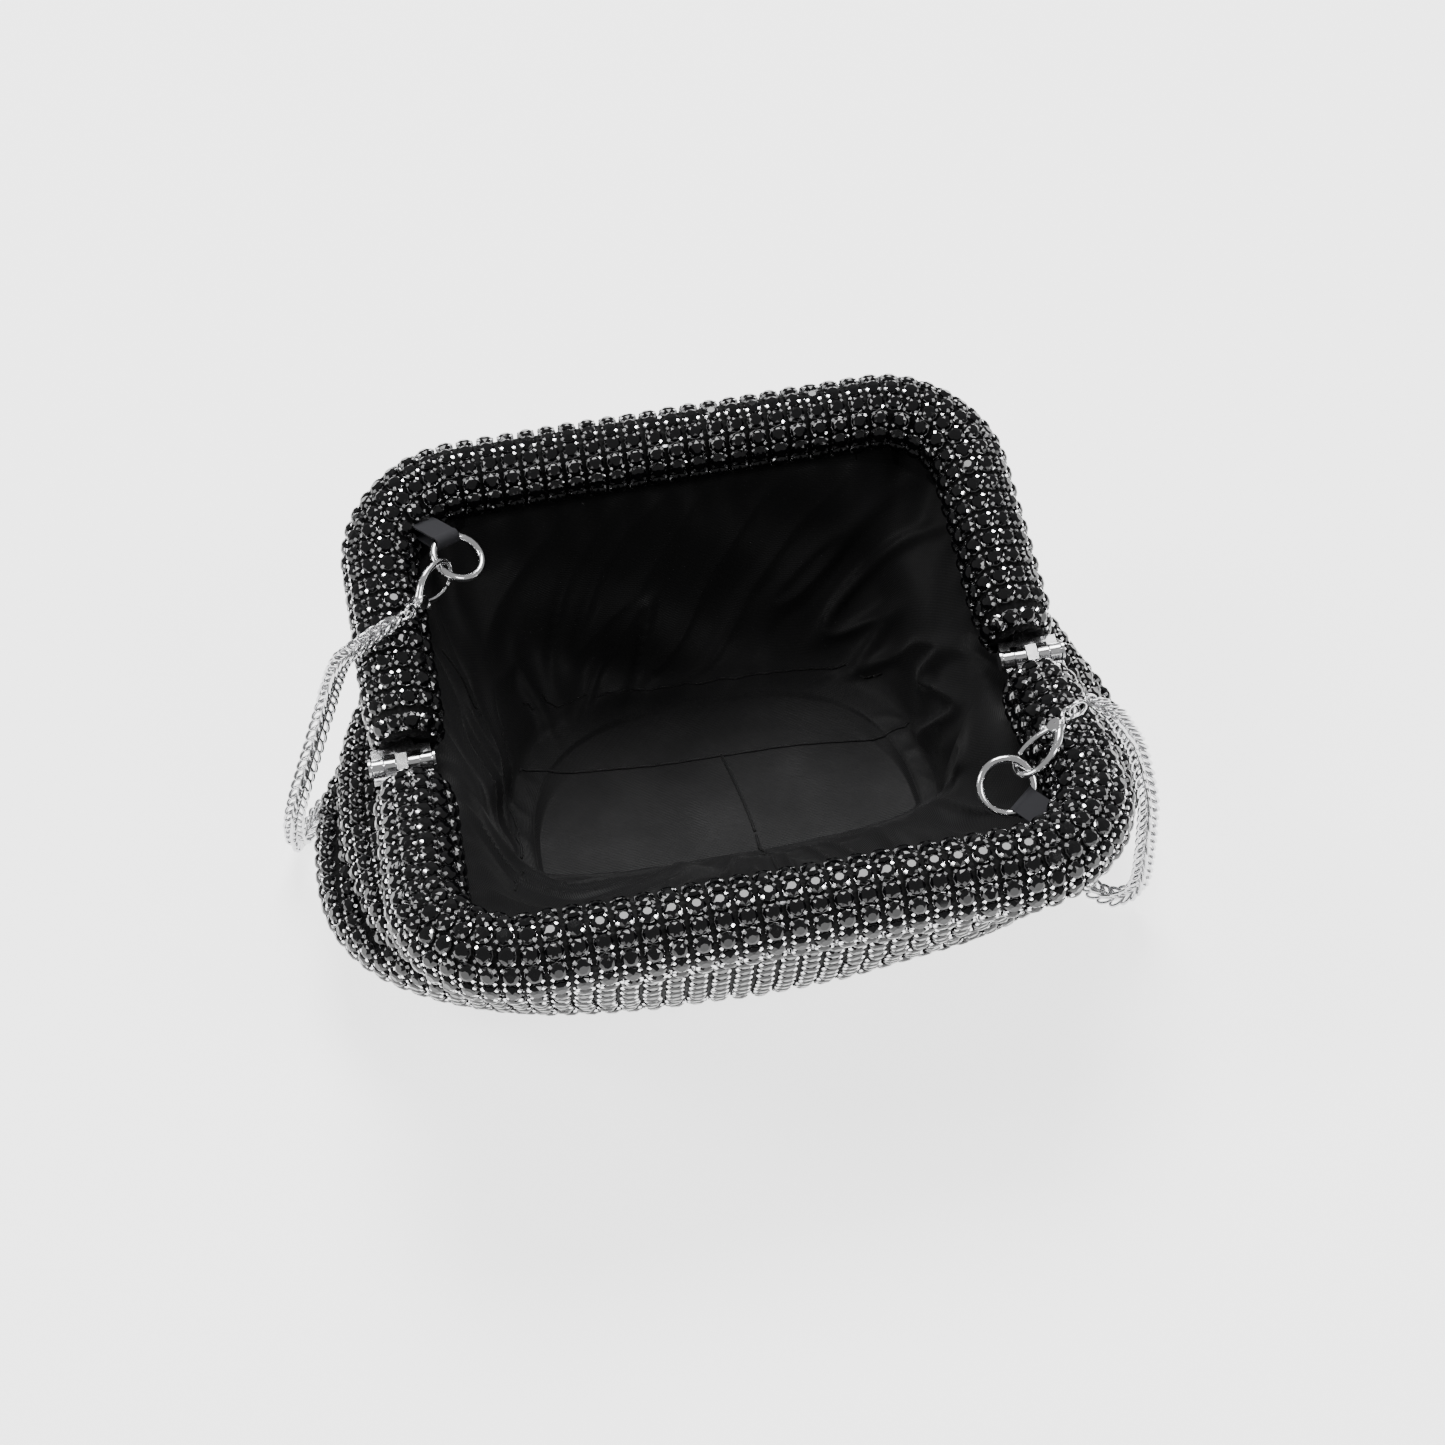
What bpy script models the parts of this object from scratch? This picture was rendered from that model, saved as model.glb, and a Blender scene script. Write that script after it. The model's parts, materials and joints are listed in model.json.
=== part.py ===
"""Evening bag with a padded hinged frame, open on a table, as separate parts in metres, +Z up.

The origin is on the table under the middle of the bag, with +X along the hinge axis and +Y towards
the back. Two U-shaped frame halves turn on pins at the ends of the mouth. Each half is a steel rod in
a foam tube under a stone-set cover. A pouch of five outer panels and five lining panels hangs below.
A chain runs from a clasp in the back left corner, behind the pouch, to one in the front right corner.
"""
import math

import bmesh
import bpy
from mathutils import Matrix, Vector

MM = 0.001
GAP = 0.3 * MM                    # clearance between neighbouring pieces

# Frame halves, seen in their own plane: a U with its legs ending at the hinge axis.
FRAME_HALF_WIDTH = 79.1 * MM      # leg centreline from the middle
FRAME_REACH = 80.8 * MM           # hinge axis to rail centreline
CORNER_RADIUS = 24.2 * MM
FRONT_LIFT = math.radians(9.3)    # slope of the front half when open
BACK_LIFT = math.radians(17.4)    # slope of the back half when open
HINGE_HEIGHT = 61.0 * MM          # hinge axis above the table
COVER_RADIUS = 10.4 * MM          # outside of the stone-set cover
COVER_THICKNESS = 1.6 * MM
ROD_RADIUS = 1.9 * MM
COVER_START = 5.5 * MM            # cover ends this far from the hinge axis
ROD_START = 16.5 * MM

# Hinges
BARREL_LENGTH = 15.0 * MM
BARREL_OFFSET = 2.0 * MM          # barrel middle, outwards from the leg centreline
KNUCKLE_RADIUS = 2.25 * MM
KNUCKLE_COUNT = 5
KNUCKLE_RELIEF = 3.6 * MM         # leaf is cut back this far round the other leaf's knuckles
BLOCK_SIDE = 4.4 * MM             # square middle knuckle
PIN_RADIUS = 0.9 * MM
PIN_CLEARANCE = 0.06 * MM
PIN_HEAD_RADIUS = 2.6 * MM
PIN_HEAD_THICKNESS = 0.6 * MM
LEAF_THICKNESS = 1.2 * MM
LEAF_TOP = -0.3 * MM              # leaf stays below the plane where the closed halves meet
LEAF_BAR_END = 5.2 * MM
TANG_HALF_WIDTH = 1.4 * MM

# Magnets in the middle of each rail
MAGNET_RADIUS = 5.0 * MM
MAGNET_THICKNESS = 2.5 * MM
MAGNET_BASE = 4.6 * MM            # above the rail centreline

# Pouch
PANEL_THICKNESS = 2.0 * MM
LINING_THICKNESS = 0.6 * MM
LINING_INSET = 2.7 * MM           # lining face inside the outer face
RIM_DROP = 1.4 * MM               # pouch rim below the cover
SEAM_GAP = 0.8 * MM               # between neighbouring panels
SEAM_SPREAD = 0.7                 # extra lining gap for each unit of inset, where walls converge
SIDE_PANEL_TURN = math.radians(36)  # half the angle that a side gusset covers
# Level: height above the table, bulge of the ends beyond the legs, how far the front and the back
# are tucked in under their rails, and squareness of the outline.
POUCH_LEVELS = (
    (42.0 * MM, 20.0 * MM, 8.5 * MM, 3.5 * MM, 3.2),
    (27.0 * MM, 30.0 * MM, 16.0 * MM, 8.5 * MM, 2.5),
    (13.0 * MM, 23.0 * MM, 25.0 * MM, 14.5 * MM, 2.35),
    (4.0 * MM, 10.0 * MM, 37.0 * MM, 23.0 * MM, 2.3),
    (0.0 * MM, 0.0 * MM, 48.0 * MM, 32.0 * MM, 2.3),
)
RIM_SQUARENESS = 5.0

# Rings, clasps and ribbon tabs
RING_RADIUS = 6.5 * MM            # wire centreline
RING_WIRE = 1.05 * MM
CLASP_REACH = 16.4 * MM           # eye centre to the ring wire
CLASP_WIRE = 0.85 * MM
CLASP_TILT = math.radians(48)     # how far the clasp stands off the ring's plane
EYE_RADIUS = 1.75 * MM
EYE_WIRE = 0.5 * MM
BOSS_RADIUS = 1.9 * MM
BOSS_HEIGHT = 2.8 * MM
BOSS_X = 4.4 * MM                 # lever pivot from the eye
LEVER_SLOT = 1.3 * MM
LEVER_THICKNESS = 0.9 * MM
LEVER_PIN_RADIUS = 0.45 * MM
LINK_LENGTH = 2.4 * MM            # half length of the end link
LINK_WIDTH = 1.9 * MM
LINK_WIRE = 0.42 * MM
LINK_LEVELLING = 0.6              # how far the end link turns into the clasp's plane
TAB_WIDTH = 7.0 * MM
TAB_THICKNESS = 0.6 * MM
TAB_LOOP = 2.1 * MM               # loop radius round the ring wire
TAB_STANDOFF = 1.2 * MM           # sewn end from the round of the cover
TAB_LONGEST = 14.0 * MM
TAB_ROOT = 1.6 * MM               # half the distance between the ribbon's sewn ends

# Chain
CHAIN_RADIUS = 2.25 * MM
DROP_STEP = 5.0 * MM              # between points where the chain bends over the frame
FLOOR_STEP = 9.0 * MM

# Chain route, right way round from the back left clasp to the front right clasp (millimetres).
LEFT_DROP = (
    (-77.5, 29.1, 83.3), (-85.8, 26.4, 80.8), (-91.8, 28.4, 74.4), (-95.8, 31.8, 64.5),
    (-99.6, 33.5, 53.5), (-105.2, 30.2, 42.0), (-110.6, 26.8, 31.0), (-114.0, 26.6, 20.5),
    (-115.2, 30.0, 9.5), (-113.8, 36.6, 3.0), (-109.0, 46.0, 2.4), (-99.0, 57.0, 2.4),
)
FLOOR_RUN = (
    (-84.0, 67.5, 2.4), (-66.0, 78.0, 2.4), (-46.0, 81.5, 2.4), (-27.0, 75.0, 2.4),
    (-9.0, 67.5, 2.4), (10.0, 71.5, 2.4), (28.0, 80.0, 2.4), (48.0, 81.0, 2.4),
    (66.0, 71.0, 2.4), (82.0, 60.0, 2.4), (94.0, 47.0, 2.4), (101.0, 30.0, 2.4),
    (99.5, 12.0, 2.4),
)
RIGHT_DROP = (
    (95.0, -4.0, 2.4), (90.5, -17.0, 2.4), (90.2, -28.0, 2.4), (95.2, -34.2, 2.8),
    (99.6, -36.6, 7.0), (101.0, -38.2, 14.0), (101.2, -38.9, 24.0), (101.1, -39.1, 35.0),
    (100.6, -38.6, 45.0), (99.0, -37.0, 54.5), (96.6, -36.6, 63.5), (93.2, -37.8, 71.0),
    (89.2, -39.2, 78.6), (84.1, -39.0, 83.2),
)


def collection(name, hidden=False):
    """A new collection in the scene; helpers go in a hidden one."""
    made = bpy.data.collections.new(name)
    bpy.context.scene.collection.children.link(made)
    made.hide_render = hidden
    return made


def material(name, colour, roughness, metallic=0.0):
    """A Principled material in one colour."""
    made = bpy.data.materials.new(name)
    made.use_nodes = True
    shader = made.node_tree.nodes["Principled BSDF"]
    shader.inputs["Base Color"].default_value = (*colour, 1.0)
    shader.inputs["Roughness"].default_value = roughness
    shader.inputs["Metallic"].default_value = metallic
    return made


def add_object(name, mesh, parent=None, colour=None, matrix=None, helper=False):
    """Put a mesh in the scene as a part, or as a hidden helper."""
    made = bpy.data.objects.new(name, mesh)
    (HELPERS if helper else BAG).objects.link(made)
    if helper:
        made.hide_render = True
        made.display_type = "WIRE"
    if parent:
        made.parent = parent
    if matrix:
        made.matrix_basis = matrix
    if colour:
        made.data.materials.append(colour)
    return made


def mesh_from(bm, name, smooth=True):
    """Finish a bmesh as a mesh, smooth except at sharp edges."""
    bmesh.ops.recalc_face_normals(bm, faces=bm.faces)
    mesh = bpy.data.meshes.new(name)
    bm.to_mesh(mesh)
    bm.free()
    if smooth:
        mesh.shade_smooth()
        mesh.set_sharp_from_angle(angle=math.radians(35))
    return mesh


def curve_mesh(name, points, radius=0.0, sides=4, caps=True, cyclic=False, extrude=0.0, radii=None):
    """Sweep a round section or a flat strip along points and return it as a welded mesh."""
    curve = bpy.data.curves.new(name, "CURVE")
    curve.dimensions = "3D"
    curve.bevel_depth = radius
    curve.bevel_resolution = sides // 2 - 2
    curve.extrude = extrude
    curve.use_fill_caps = caps
    spline = curve.splines.new("POLY")
    spline.points.add(len(points) - 1)
    for index, (place, node) in enumerate(zip(points, spline.points)):
        node.co = (*place, 1.0)
        node.radius = radii[index] if radii else 1.0
    spline.use_cyclic_u = cyclic
    holder = bpy.data.objects.new(name, curve)
    bpy.context.scene.collection.objects.link(holder)
    graph = bpy.context.evaluated_depsgraph_get()
    mesh = bpy.data.meshes.new_from_object(holder.evaluated_get(graph))
    bpy.data.objects.remove(holder)
    bpy.data.curves.remove(curve)
    bm = bmesh.new()
    bm.from_mesh(mesh)
    bmesh.ops.remove_doubles(bm, verts=bm.verts, dist=0.001 * MM)
    bm.to_mesh(mesh)
    bm.free()
    mesh.shade_smooth()
    mesh.set_sharp_from_angle(angle=math.radians(50))
    return mesh


def outline_mesh(name, points, thickness):
    """A flat outline, filled and extruded about its own plane."""
    curve = bpy.data.curves.new(name, "CURVE")
    curve.dimensions = "2D"
    curve.fill_mode = "BOTH"
    curve.extrude = thickness / 2
    spline = curve.splines.new("POLY")
    spline.points.add(len(points) - 1)
    for (x, y), node in zip(points, spline.points):
        node.co = (x, y, 0.0, 1.0)
    spline.use_cyclic_u = True
    holder = bpy.data.objects.new(name, curve)
    bpy.context.scene.collection.objects.link(holder)
    graph = bpy.context.evaluated_depsgraph_get()
    mesh = bpy.data.meshes.new_from_object(holder.evaluated_get(graph))
    bpy.data.objects.remove(holder)
    bpy.data.curves.remove(curve)
    bm = bmesh.new()
    bm.from_mesh(mesh)
    bmesh.ops.remove_doubles(bm, verts=bm.verts, dist=0.001 * MM)
    bm.to_mesh(mesh)
    bm.free()
    return mesh


def cylinders(name, spans, radius, axis="X", square=False, segments=24):
    """Separate cylinders, or square blocks, on one axis; each span is a start and an end."""
    bm = bmesh.new()
    turn = {"X": Matrix.Rotation(math.pi / 2, 4, "Y"), "Z": Matrix.Identity(4)}[axis]
    for start, end in spans:
        middle = turn @ Matrix.Translation((0, 0, (start + end) / 2))
        if square:
            scale = Matrix.Diagonal((2 * radius, 2 * radius, end - start, 1))
            bmesh.ops.create_cube(bm, size=1.0, matrix=middle @ scale)
        else:
            bmesh.ops.create_cone(bm, cap_ends=True, segments=segments, radius1=radius,
                                  radius2=radius, depth=end - start, matrix=middle)
    return mesh_from(bm, name)


def boolean(target, tool, operation):
    """Add an exact Boolean modifier."""
    modifier = target.modifiers.new(operation.title(), "BOOLEAN")
    modifier.operation = operation
    modifier.object = tool
    modifier.solver = "EXACT"


def solidify(target, thickness, inset=0.0):
    """Give an open surface its wall, on the inner side and this far inside it."""
    modifier = target.modifiers.new("Wall", "SOLIDIFY")
    modifier.thickness = thickness
    modifier.offset = -1.0 - 2 * inset / thickness


def smooth_curve(points):
    """Closely spaced points on a smooth curve through the given points."""
    ends = [2 * points[0] - points[1]] + list(points) + [2 * points[-1] - points[-2]]
    fine = []
    for a, b, c, d in zip(ends, ends[1:], ends[2:], ends[3:]):
        for index in range(20):
            t = index / 20
            fine.append(0.5 * (2 * b + (c - a) * t + (2 * a - 5 * b + 4 * c - d) * t * t
                               + (3 * b - a - 3 * c + d) * t ** 3))
    return fine + [Vector(points[-1])]


def even_points(fine, count, start=0.0, end=None):
    """Evenly spaced points along a line of closely spaced ones, between two distances along it."""
    lengths = [0.0]
    for a, b in zip(fine, fine[1:]):
        lengths.append(lengths[-1] + (b - a).length)
    end = lengths[-1] if end is None else end
    made = []
    for index in range(count + 1):
        want = start + (end - start) * index / count
        place = next(i for i in range(1, len(lengths)) if lengths[i] >= want - 1e-9)
        share = (want - lengths[place - 1]) / (lengths[place] - lengths[place - 1])
        made.append(fine[place - 1].lerp(fine[place], share))
    return made


def line_length(points):
    """Length of a line through points."""
    return sum((b - a).length for a, b in zip(points, points[1:]))


def u_path(start):
    """Centreline of a frame half in its own plane, from leg end to leg end."""
    side, rail, corner = FRAME_HALF_WIDTH, FRAME_REACH, CORNER_RADIUS
    half = [Vector((-side, start, 0))]
    for index in range(9):
        turn = math.pi / 2 * index / 8
        half.append(Vector((-side + corner - corner * math.cos(turn),
                            rail - corner + corner * math.sin(turn), 0)))
    return half + [Vector((-p.x, p.y, 0)) for p in reversed(half)]


def build_frame_half(name, pivot):
    """Rod, foam, cover and magnet of one frame half, in the pivot's own axes."""
    rod = curve_mesh(name + "_frame_rod", u_path(ROD_START), ROD_RADIUS, sides=8)
    add_object(name + "_frame_rod", rod, pivot, STEEL)

    foam_radius = COVER_RADIUS - COVER_THICKNESS - GAP
    foam_mesh = curve_mesh(name + "_foam", u_path(COVER_START + GAP), foam_radius, sides=12, caps=False)
    foam = add_object(name + "_foam_padding", foam_mesh, pivot, FOAM)
    solidify(foam, foam_radius - ROD_RADIUS - GAP)
    pocket = add_object(name + "_magnet_pocket", cylinders(
        "pocket", [(MAGNET_BASE - GAP, 2 * COVER_RADIUS)], MAGNET_RADIUS + GAP, "Z"),
        pivot, helper=True, matrix=Matrix.Translation((0, FRAME_REACH, 0)))
    boolean(foam, pocket, "DIFFERENCE")
    magnet = cylinders("magnet", [(MAGNET_BASE, MAGNET_BASE + MAGNET_THICKNESS)], MAGNET_RADIUS, "Z")
    add_object(name + "_magnet", magnet, pivot, MAGNET, Matrix.Translation((0, FRAME_REACH, 0)))

    cover = add_object(name + "_frame_cover", curve_mesh(
        name + "_cover", u_path(COVER_START), COVER_RADIUS, sides=16, caps=False), pivot, STONES)
    solidify(cover, COVER_THICKNESS)


def knuckle_spans():
    """Start and end of each knuckle along the barrel, from its middle."""
    length = (BARREL_LENGTH - (KNUCKLE_COUNT - 1) * GAP) / KNUCKLE_COUNT
    first = -BARREL_LENGTH / 2
    return [(first + i * (length + GAP), first + i * (length + GAP) + length)
            for i in range(KNUCKLE_COUNT)]


def build_hinge_leaf(name, pivot, side, own, others):
    """A leaf: knuckles on the pin, a cross bar, and a tang that reaches the rod in the foam."""
    place = Matrix.Translation((side * (FRAME_HALF_WIDTH + BARREL_OFFSET), 0, 0))
    half = BARREL_LENGTH / 2
    tang = -side * BARREL_OFFSET
    outline = [(-half, 0), (half, 0), (half, LEAF_BAR_END), (tang + TANG_HALF_WIDTH, LEAF_BAR_END),
               (tang + TANG_HALF_WIDTH, ROD_START - GAP), (tang - TANG_HALF_WIDTH, ROD_START - GAP),
               (tang - TANG_HALF_WIDTH, LEAF_BAR_END), (-half, LEAF_BAR_END)]
    middle = place @ Matrix.Translation((0, 0, LEAF_TOP - LEAF_THICKNESS / 2))
    leaf = add_object(name, outline_mesh(name, outline, LEAF_THICKNESS), pivot, STEEL, middle)
    spans = knuckle_spans()
    relief_spans = [(spans[i][0] - 1.5 * GAP, spans[i][1] + 1.5 * GAP) for i in others]
    centre = KNUCKLE_COUNT // 2
    relief = add_object(name + "_relief", cylinders("relief", relief_spans, KNUCKLE_RELIEF),
                        pivot, matrix=place, helper=True)
    round_spans = [spans[i] for i in own if i != centre]
    knuckles = add_object(name + "_knuckles", cylinders("knuckles", round_spans, KNUCKLE_RADIUS),
                          pivot, matrix=place, helper=True)
    bore_radius = (PIN_RADIUS + PIN_CLEARANCE) / math.cos(math.pi / 24)
    bore = add_object(name + "_bore", cylinders("bore", [(-BARREL_LENGTH, BARREL_LENGTH)], bore_radius),
                      pivot, matrix=place, helper=True)
    boolean(leaf, relief, "DIFFERENCE")
    boolean(leaf, knuckles, "UNION")
    if centre in own:
        block = add_object(name + "_block", cylinders("block", [spans[centre]], BLOCK_SIDE / 2, square=True),
                           pivot, matrix=place, helper=True)
        boolean(leaf, block, "UNION")
    boolean(leaf, bore, "DIFFERENCE")


def build_hinge_pin(name, side):
    """A turned pin with a flat head at each end, lying along the hinge axis."""
    end = BARREL_LENGTH / 2 + GAP
    outer = end + PIN_HEAD_THICKNESS
    profile = [(0, outer), (PIN_HEAD_RADIUS, outer), (PIN_HEAD_RADIUS, end), (PIN_RADIUS, end),
               (PIN_RADIUS, -end), (PIN_HEAD_RADIUS, -end), (PIN_HEAD_RADIUS, -outer), (0, -outer)]
    mesh = bpy.data.meshes.new(name)
    mesh.from_pydata([(x, 0, z) for x, z in profile], [(i, i + 1) for i in range(len(profile) - 1)], [])
    pin = add_object(name, mesh, colour=STEEL)
    screw = pin.modifiers.new("Turn", "SCREW")
    screw.steps = 24
    screw.render_steps = 24
    screw.use_merge_vertices = True
    screw.merge_threshold = 0.00001
    pin.location = (side * (FRAME_HALF_WIDTH + BARREL_OFFSET), HINGE_Y, HINGE_HEIGHT)
    pin.rotation_euler = (0, math.pi / 2, 0)


def rim_height(y):
    """Height of the pouch rim, just below the covers of the open frame."""
    lift = FRONT_LIFT if y < 0 else BACK_LIFT
    return HINGE_HEIGHT + abs(y) * math.tan(lift) - (COVER_RADIUS + RIM_DROP) / math.cos(lift)


def pouch_outline(turn, half_width, front, back, squareness):
    """A point on a rounded-rectangle outline about the hinge axis."""
    across, along = math.cos(turn), math.sin(turn)
    depth = front if along < 0 else back
    reach = (abs(across / half_width) ** squareness + abs(along / depth) ** squareness) ** (-1 / squareness)
    return reach * across, reach * along


def pouch_column(turn, rows):
    """Points down the pouch wall from the rim to the bottom edge, at one turn round it."""
    front = FRAME_REACH * math.cos(FRONT_LIFT)
    back = FRAME_REACH * math.cos(BACK_LIFT)
    x, y = pouch_outline(turn, FRAME_HALF_WIDTH, front, back, RIM_SQUARENESS)
    column = [Vector((x, y + HINGE_Y, rim_height(y)))]
    for height, bulge, front_tuck, back_tuck, squareness in POUCH_LEVELS:
        x, y = pouch_outline(turn, FRAME_HALF_WIDTH + bulge, front - front_tuck, back - back_tuck, squareness)
        column.append(Vector((x, y + HINGE_Y, height)))
    return even_points(smooth_curve(column), rows)


def build_wall_panel(name, start, end, inset, thickness, colour, columns=12, rows=8):
    """A curved wall panel between two turns round the pouch."""
    edge = (SEAM_GAP + inset * SEAM_SPREAD) / 2 / FRAME_HALF_WIDTH
    turns = [start + edge + (end - start - 2 * edge) * i / columns for i in range(columns + 1)]
    grid = []
    bm = bmesh.new()
    for turn in turns:
        points = pouch_column(turn, rows)
        grid.append([bm.verts.new(p) for p in points])
    for left, right in zip(grid, grid[1:]):
        for a, b, c, d in zip(left, left[1:], right[1:], right):
            bm.faces.new((a, b, c, d))
    mesh = bpy.data.meshes.new(name)
    bm.to_mesh(mesh)
    bm.free()
    mesh.shade_smooth()
    panel = add_object(name, mesh, colour=colour)
    solidify(panel, thickness, inset)


def build_bottom(name, inset, thickness, colour):
    """The flat bottom piece inside the lower edge of the wall panels."""
    _, bulge, front_tuck, back_tuck, squareness = POUCH_LEVELS[-1]
    front = FRAME_REACH * math.cos(FRONT_LIFT) - front_tuck - inset
    back = FRAME_REACH * math.cos(BACK_LIFT) - back_tuck - inset
    outline = [pouch_outline(2 * math.pi * i / 40, FRAME_HALF_WIDTH + bulge - inset, front, back, squareness)
               for i in range(40)]
    edge = SEAM_GAP + thickness
    outline = [(x * (1 - edge / FRAME_HALF_WIDTH), y * (1 - edge / front) + HINGE_Y) for x, y in outline]
    base = add_object(name, outline_mesh(name, outline, thickness), colour=colour)
    base.location.z = inset + thickness / 2


def build_pouch():
    """Outer panels and lining panels, each set with a seam gap between neighbours."""
    side = SIDE_PANEL_TURN
    quarter = math.pi / 2
    sectors = {
        "back": (side, 2 * quarter - side), "left": (2 * quarter - side, 2 * quarter + side),
        "front": (2 * quarter + side, 4 * quarter - side), "right": (-side, side),
    }
    for label, (start, end) in sectors.items():
        outer = label + ("_panel" if label in ("front", "back") else "_gusset")
        build_wall_panel(outer, start, end, 0.0, PANEL_THICKNESS, STONES)
        build_wall_panel("lining_" + label, start, end, LINING_INSET, LINING_THICKNESS, SATIN)
    build_bottom("bottom_panel", 0.0, PANEL_THICKNESS, STONES)
    build_bottom("lining_bottom", LINING_INSET, LINING_THICKNESS, SATIN)


def axes_matrix(origin, x_axis, z_axis):
    """A placement from an origin, an X axis and a Z axis square to it."""
    y_axis = z_axis.cross(x_axis)
    turn = Matrix((x_axis, y_axis, z_axis)).transposed()
    return Matrix.Translation(origin) @ turn.to_4x4()


def circle_points(radius_x, radius_y, count):
    """Points round an ellipse in the XY plane."""
    return [Vector((radius_x * math.cos(2 * math.pi * i / count),
                    radius_y * math.sin(2 * math.pi * i / count), 0)) for i in range(count)]


def frame_distance(point):
    """Distance from a point to the centreline of a frame half, in the half's own axes."""
    side, rail = abs(point.x), point.y
    straight = FRAME_HALF_WIDTH - CORNER_RADIUS
    corner = FRAME_REACH - CORNER_RADIUS
    to_leg = math.hypot(side - FRAME_HALF_WIDTH, rail - min(rail, corner))
    to_rail = math.hypot(side - min(side, straight), rail - FRAME_REACH)
    flat = min(to_leg, to_rail)
    if side > straight and rail > corner:
        flat = abs(math.hypot(side - straight, rail - corner) - CORNER_RADIUS)
    return math.hypot(flat, point.z)


def build_clasp(side, pivot, layout):
    """Ribbon tab, ring, lobster clasp and end link at one corner, in the pivot's own axes."""
    ring_centre = Vector(layout["ring"])
    along = (Vector(layout["eye"]) - ring_centre).normalized()
    eye = ring_centre + along * (RING_RADIUS + CLASP_REACH)
    facing = Vector(layout["facing"])
    normal = (facing - along * facing.dot(along)).normalized()

    ring = curve_mesh("ring_" + side, circle_points(RING_RADIUS, RING_RADIUS, 28), RING_WIRE, 8, cyclic=True)
    add_object("ring_" + side, ring, pivot, BRIGHT, axes_matrix(ring_centre, along, normal))

    # The ribbon loops round the ring wire and ends at the cover.
    corner = Vector((-FRAME_HALF_WIDTH + CORNER_RADIUS, FRAME_REACH - CORNER_RADIUS, 0))
    turn = Vector((-1, 1, 0)).normalized()
    cover_line = corner + turn * CORNER_RADIUS
    outward = (cover_line - ring_centre)
    outward = (outward - normal * outward.dot(normal)).normalized()
    sagitta = RING_RADIUS - math.sqrt(RING_RADIUS ** 2 - (TAB_WIDTH / 2) ** 2)
    wire = ring_centre + outward * (RING_RADIUS - sagitta / 2)
    width = outward.cross(normal).normalized()
    pull = cover_line - wire
    pull = (pull - width * pull.dot(width)).normalized()
    reach = TAB_LONGEST
    while min(frame_distance(wire + pull * reach + width * half)
              for half in (-TAB_WIDTH / 2, 0, TAB_WIDTH / 2)) < COVER_RADIUS + TAB_STANDOFF:
        reach -= GAP
    loop = [Vector((max(reach, TAB_LOOP), -TAB_ROOT, 0))]
    for index in range(9):
        angle = math.radians(-60 - 240 * index / 8)
        loop.append(Vector((TAB_LOOP * math.cos(angle), TAB_LOOP * math.sin(angle), 0)))
    loop.append(Vector((max(reach, TAB_LOOP), TAB_ROOT, 0)))
    strip = curve_mesh("tab_" + side, loop, extrude=TAB_WIDTH / 2, caps=False)
    tab = add_object("ribbon_tab_" + side, strip, pivot, RIBBON, axes_matrix(wire, pull, width))
    thick = tab.modifiers.new("Ribbon", "SOLIDIFY")
    thick.thickness = TAB_THICKNESS
    thick.offset = 0.0

    # The clasp lies from its eye to its tip, hooked through the ring.
    across = normal.cross(along).normalized()
    face = (across * math.sin(CLASP_TILT) * layout["hand"] + normal * math.cos(CLASP_TILT)).normalized()
    place = axes_matrix(eye, -along, face)
    tip = CLASP_REACH + RING_WIRE + CLASP_WIRE + 1.5 * GAP
    hook = [(BOSS_X, 0.9), (BOSS_X + 2.6 * MM, 3.0), (BOSS_X + 5.8 * MM, 4.3), (tip - 4.4 * MM, 4.3),
            (tip - 1.6 * MM, 3.1), (tip, 0.6), (tip - 0.9 * MM, -2.3), (tip - 3.2 * MM, -3.7)]
    hook = even_points(smooth_curve([Vector((x, y * MM, 0)) for x, y in hook]), 16)
    body = add_object("clasp_body_" + side, curve_mesh("hook", hook, CLASP_WIRE, 8), pivot, BRIGHT, place)
    eye_mesh = curve_mesh("eye", circle_points(EYE_RADIUS, EYE_RADIUS, 16), EYE_WIRE, 8, cyclic=True)
    parts = {
        "eye": (eye_mesh, Matrix.Identity(4)),
        "neck": (cylinders("neck", [(EYE_RADIUS, BOSS_X - 1.0 * MM)], 0.7 * MM, segments=12), Matrix.Identity(4)),
        "boss": (cylinders("boss", [(-BOSS_HEIGHT / 2, BOSS_HEIGHT / 2)], BOSS_RADIUS, "Z", segments=20),
                 Matrix.Translation((BOSS_X, 0, 0))),
    }
    for label, (mesh, shift) in parts.items():
        tool = add_object("clasp_" + label + "_" + side, mesh, pivot, matrix=place @ shift, helper=True)
        boolean(body, tool, "UNION")
    slot = [(BOSS_X - BOSS_RADIUS * 2, -BOSS_RADIUS * 2), (BOSS_X + BOSS_RADIUS * 2, -BOSS_RADIUS * 2),
            (BOSS_X + BOSS_RADIUS * 2, 0.25 * MM), (BOSS_X - BOSS_RADIUS * 0.6, 0.25 * MM),
            (BOSS_X - BOSS_RADIUS * 0.6, -1.0 * MM), (BOSS_X - BOSS_RADIUS * 2, -1.0 * MM)]
    slot_tool = add_object("clasp_slot_" + side, outline_mesh("slot", slot, LEVER_SLOT), pivot,
                           matrix=place, helper=True)
    boolean(body, slot_tool, "DIFFERENCE")
    pivot_x, pivot_y = BOSS_X + 0.2 * MM, -0.85 * MM
    at_pivot = place @ Matrix.Translation((pivot_x, pivot_y, 0))
    drill_radius = (LEVER_PIN_RADIUS + PIN_CLEARANCE) / math.cos(math.pi / 24)
    drill = add_object("clasp_drill_" + side, cylinders(
        "drill", [(-BOSS_HEIGHT, BOSS_HEIGHT)], drill_radius, "Z"), pivot, matrix=at_pivot, helper=True)
    boolean(body, drill, "DIFFERENCE")
    pin = cylinders("pin", [(-BOSS_HEIGHT / 2, BOSS_HEIGHT / 2)], LEVER_PIN_RADIUS, "Z")
    add_object("clasp_pin_" + side, pin, pivot, BRIGHT, at_pivot)

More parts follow.
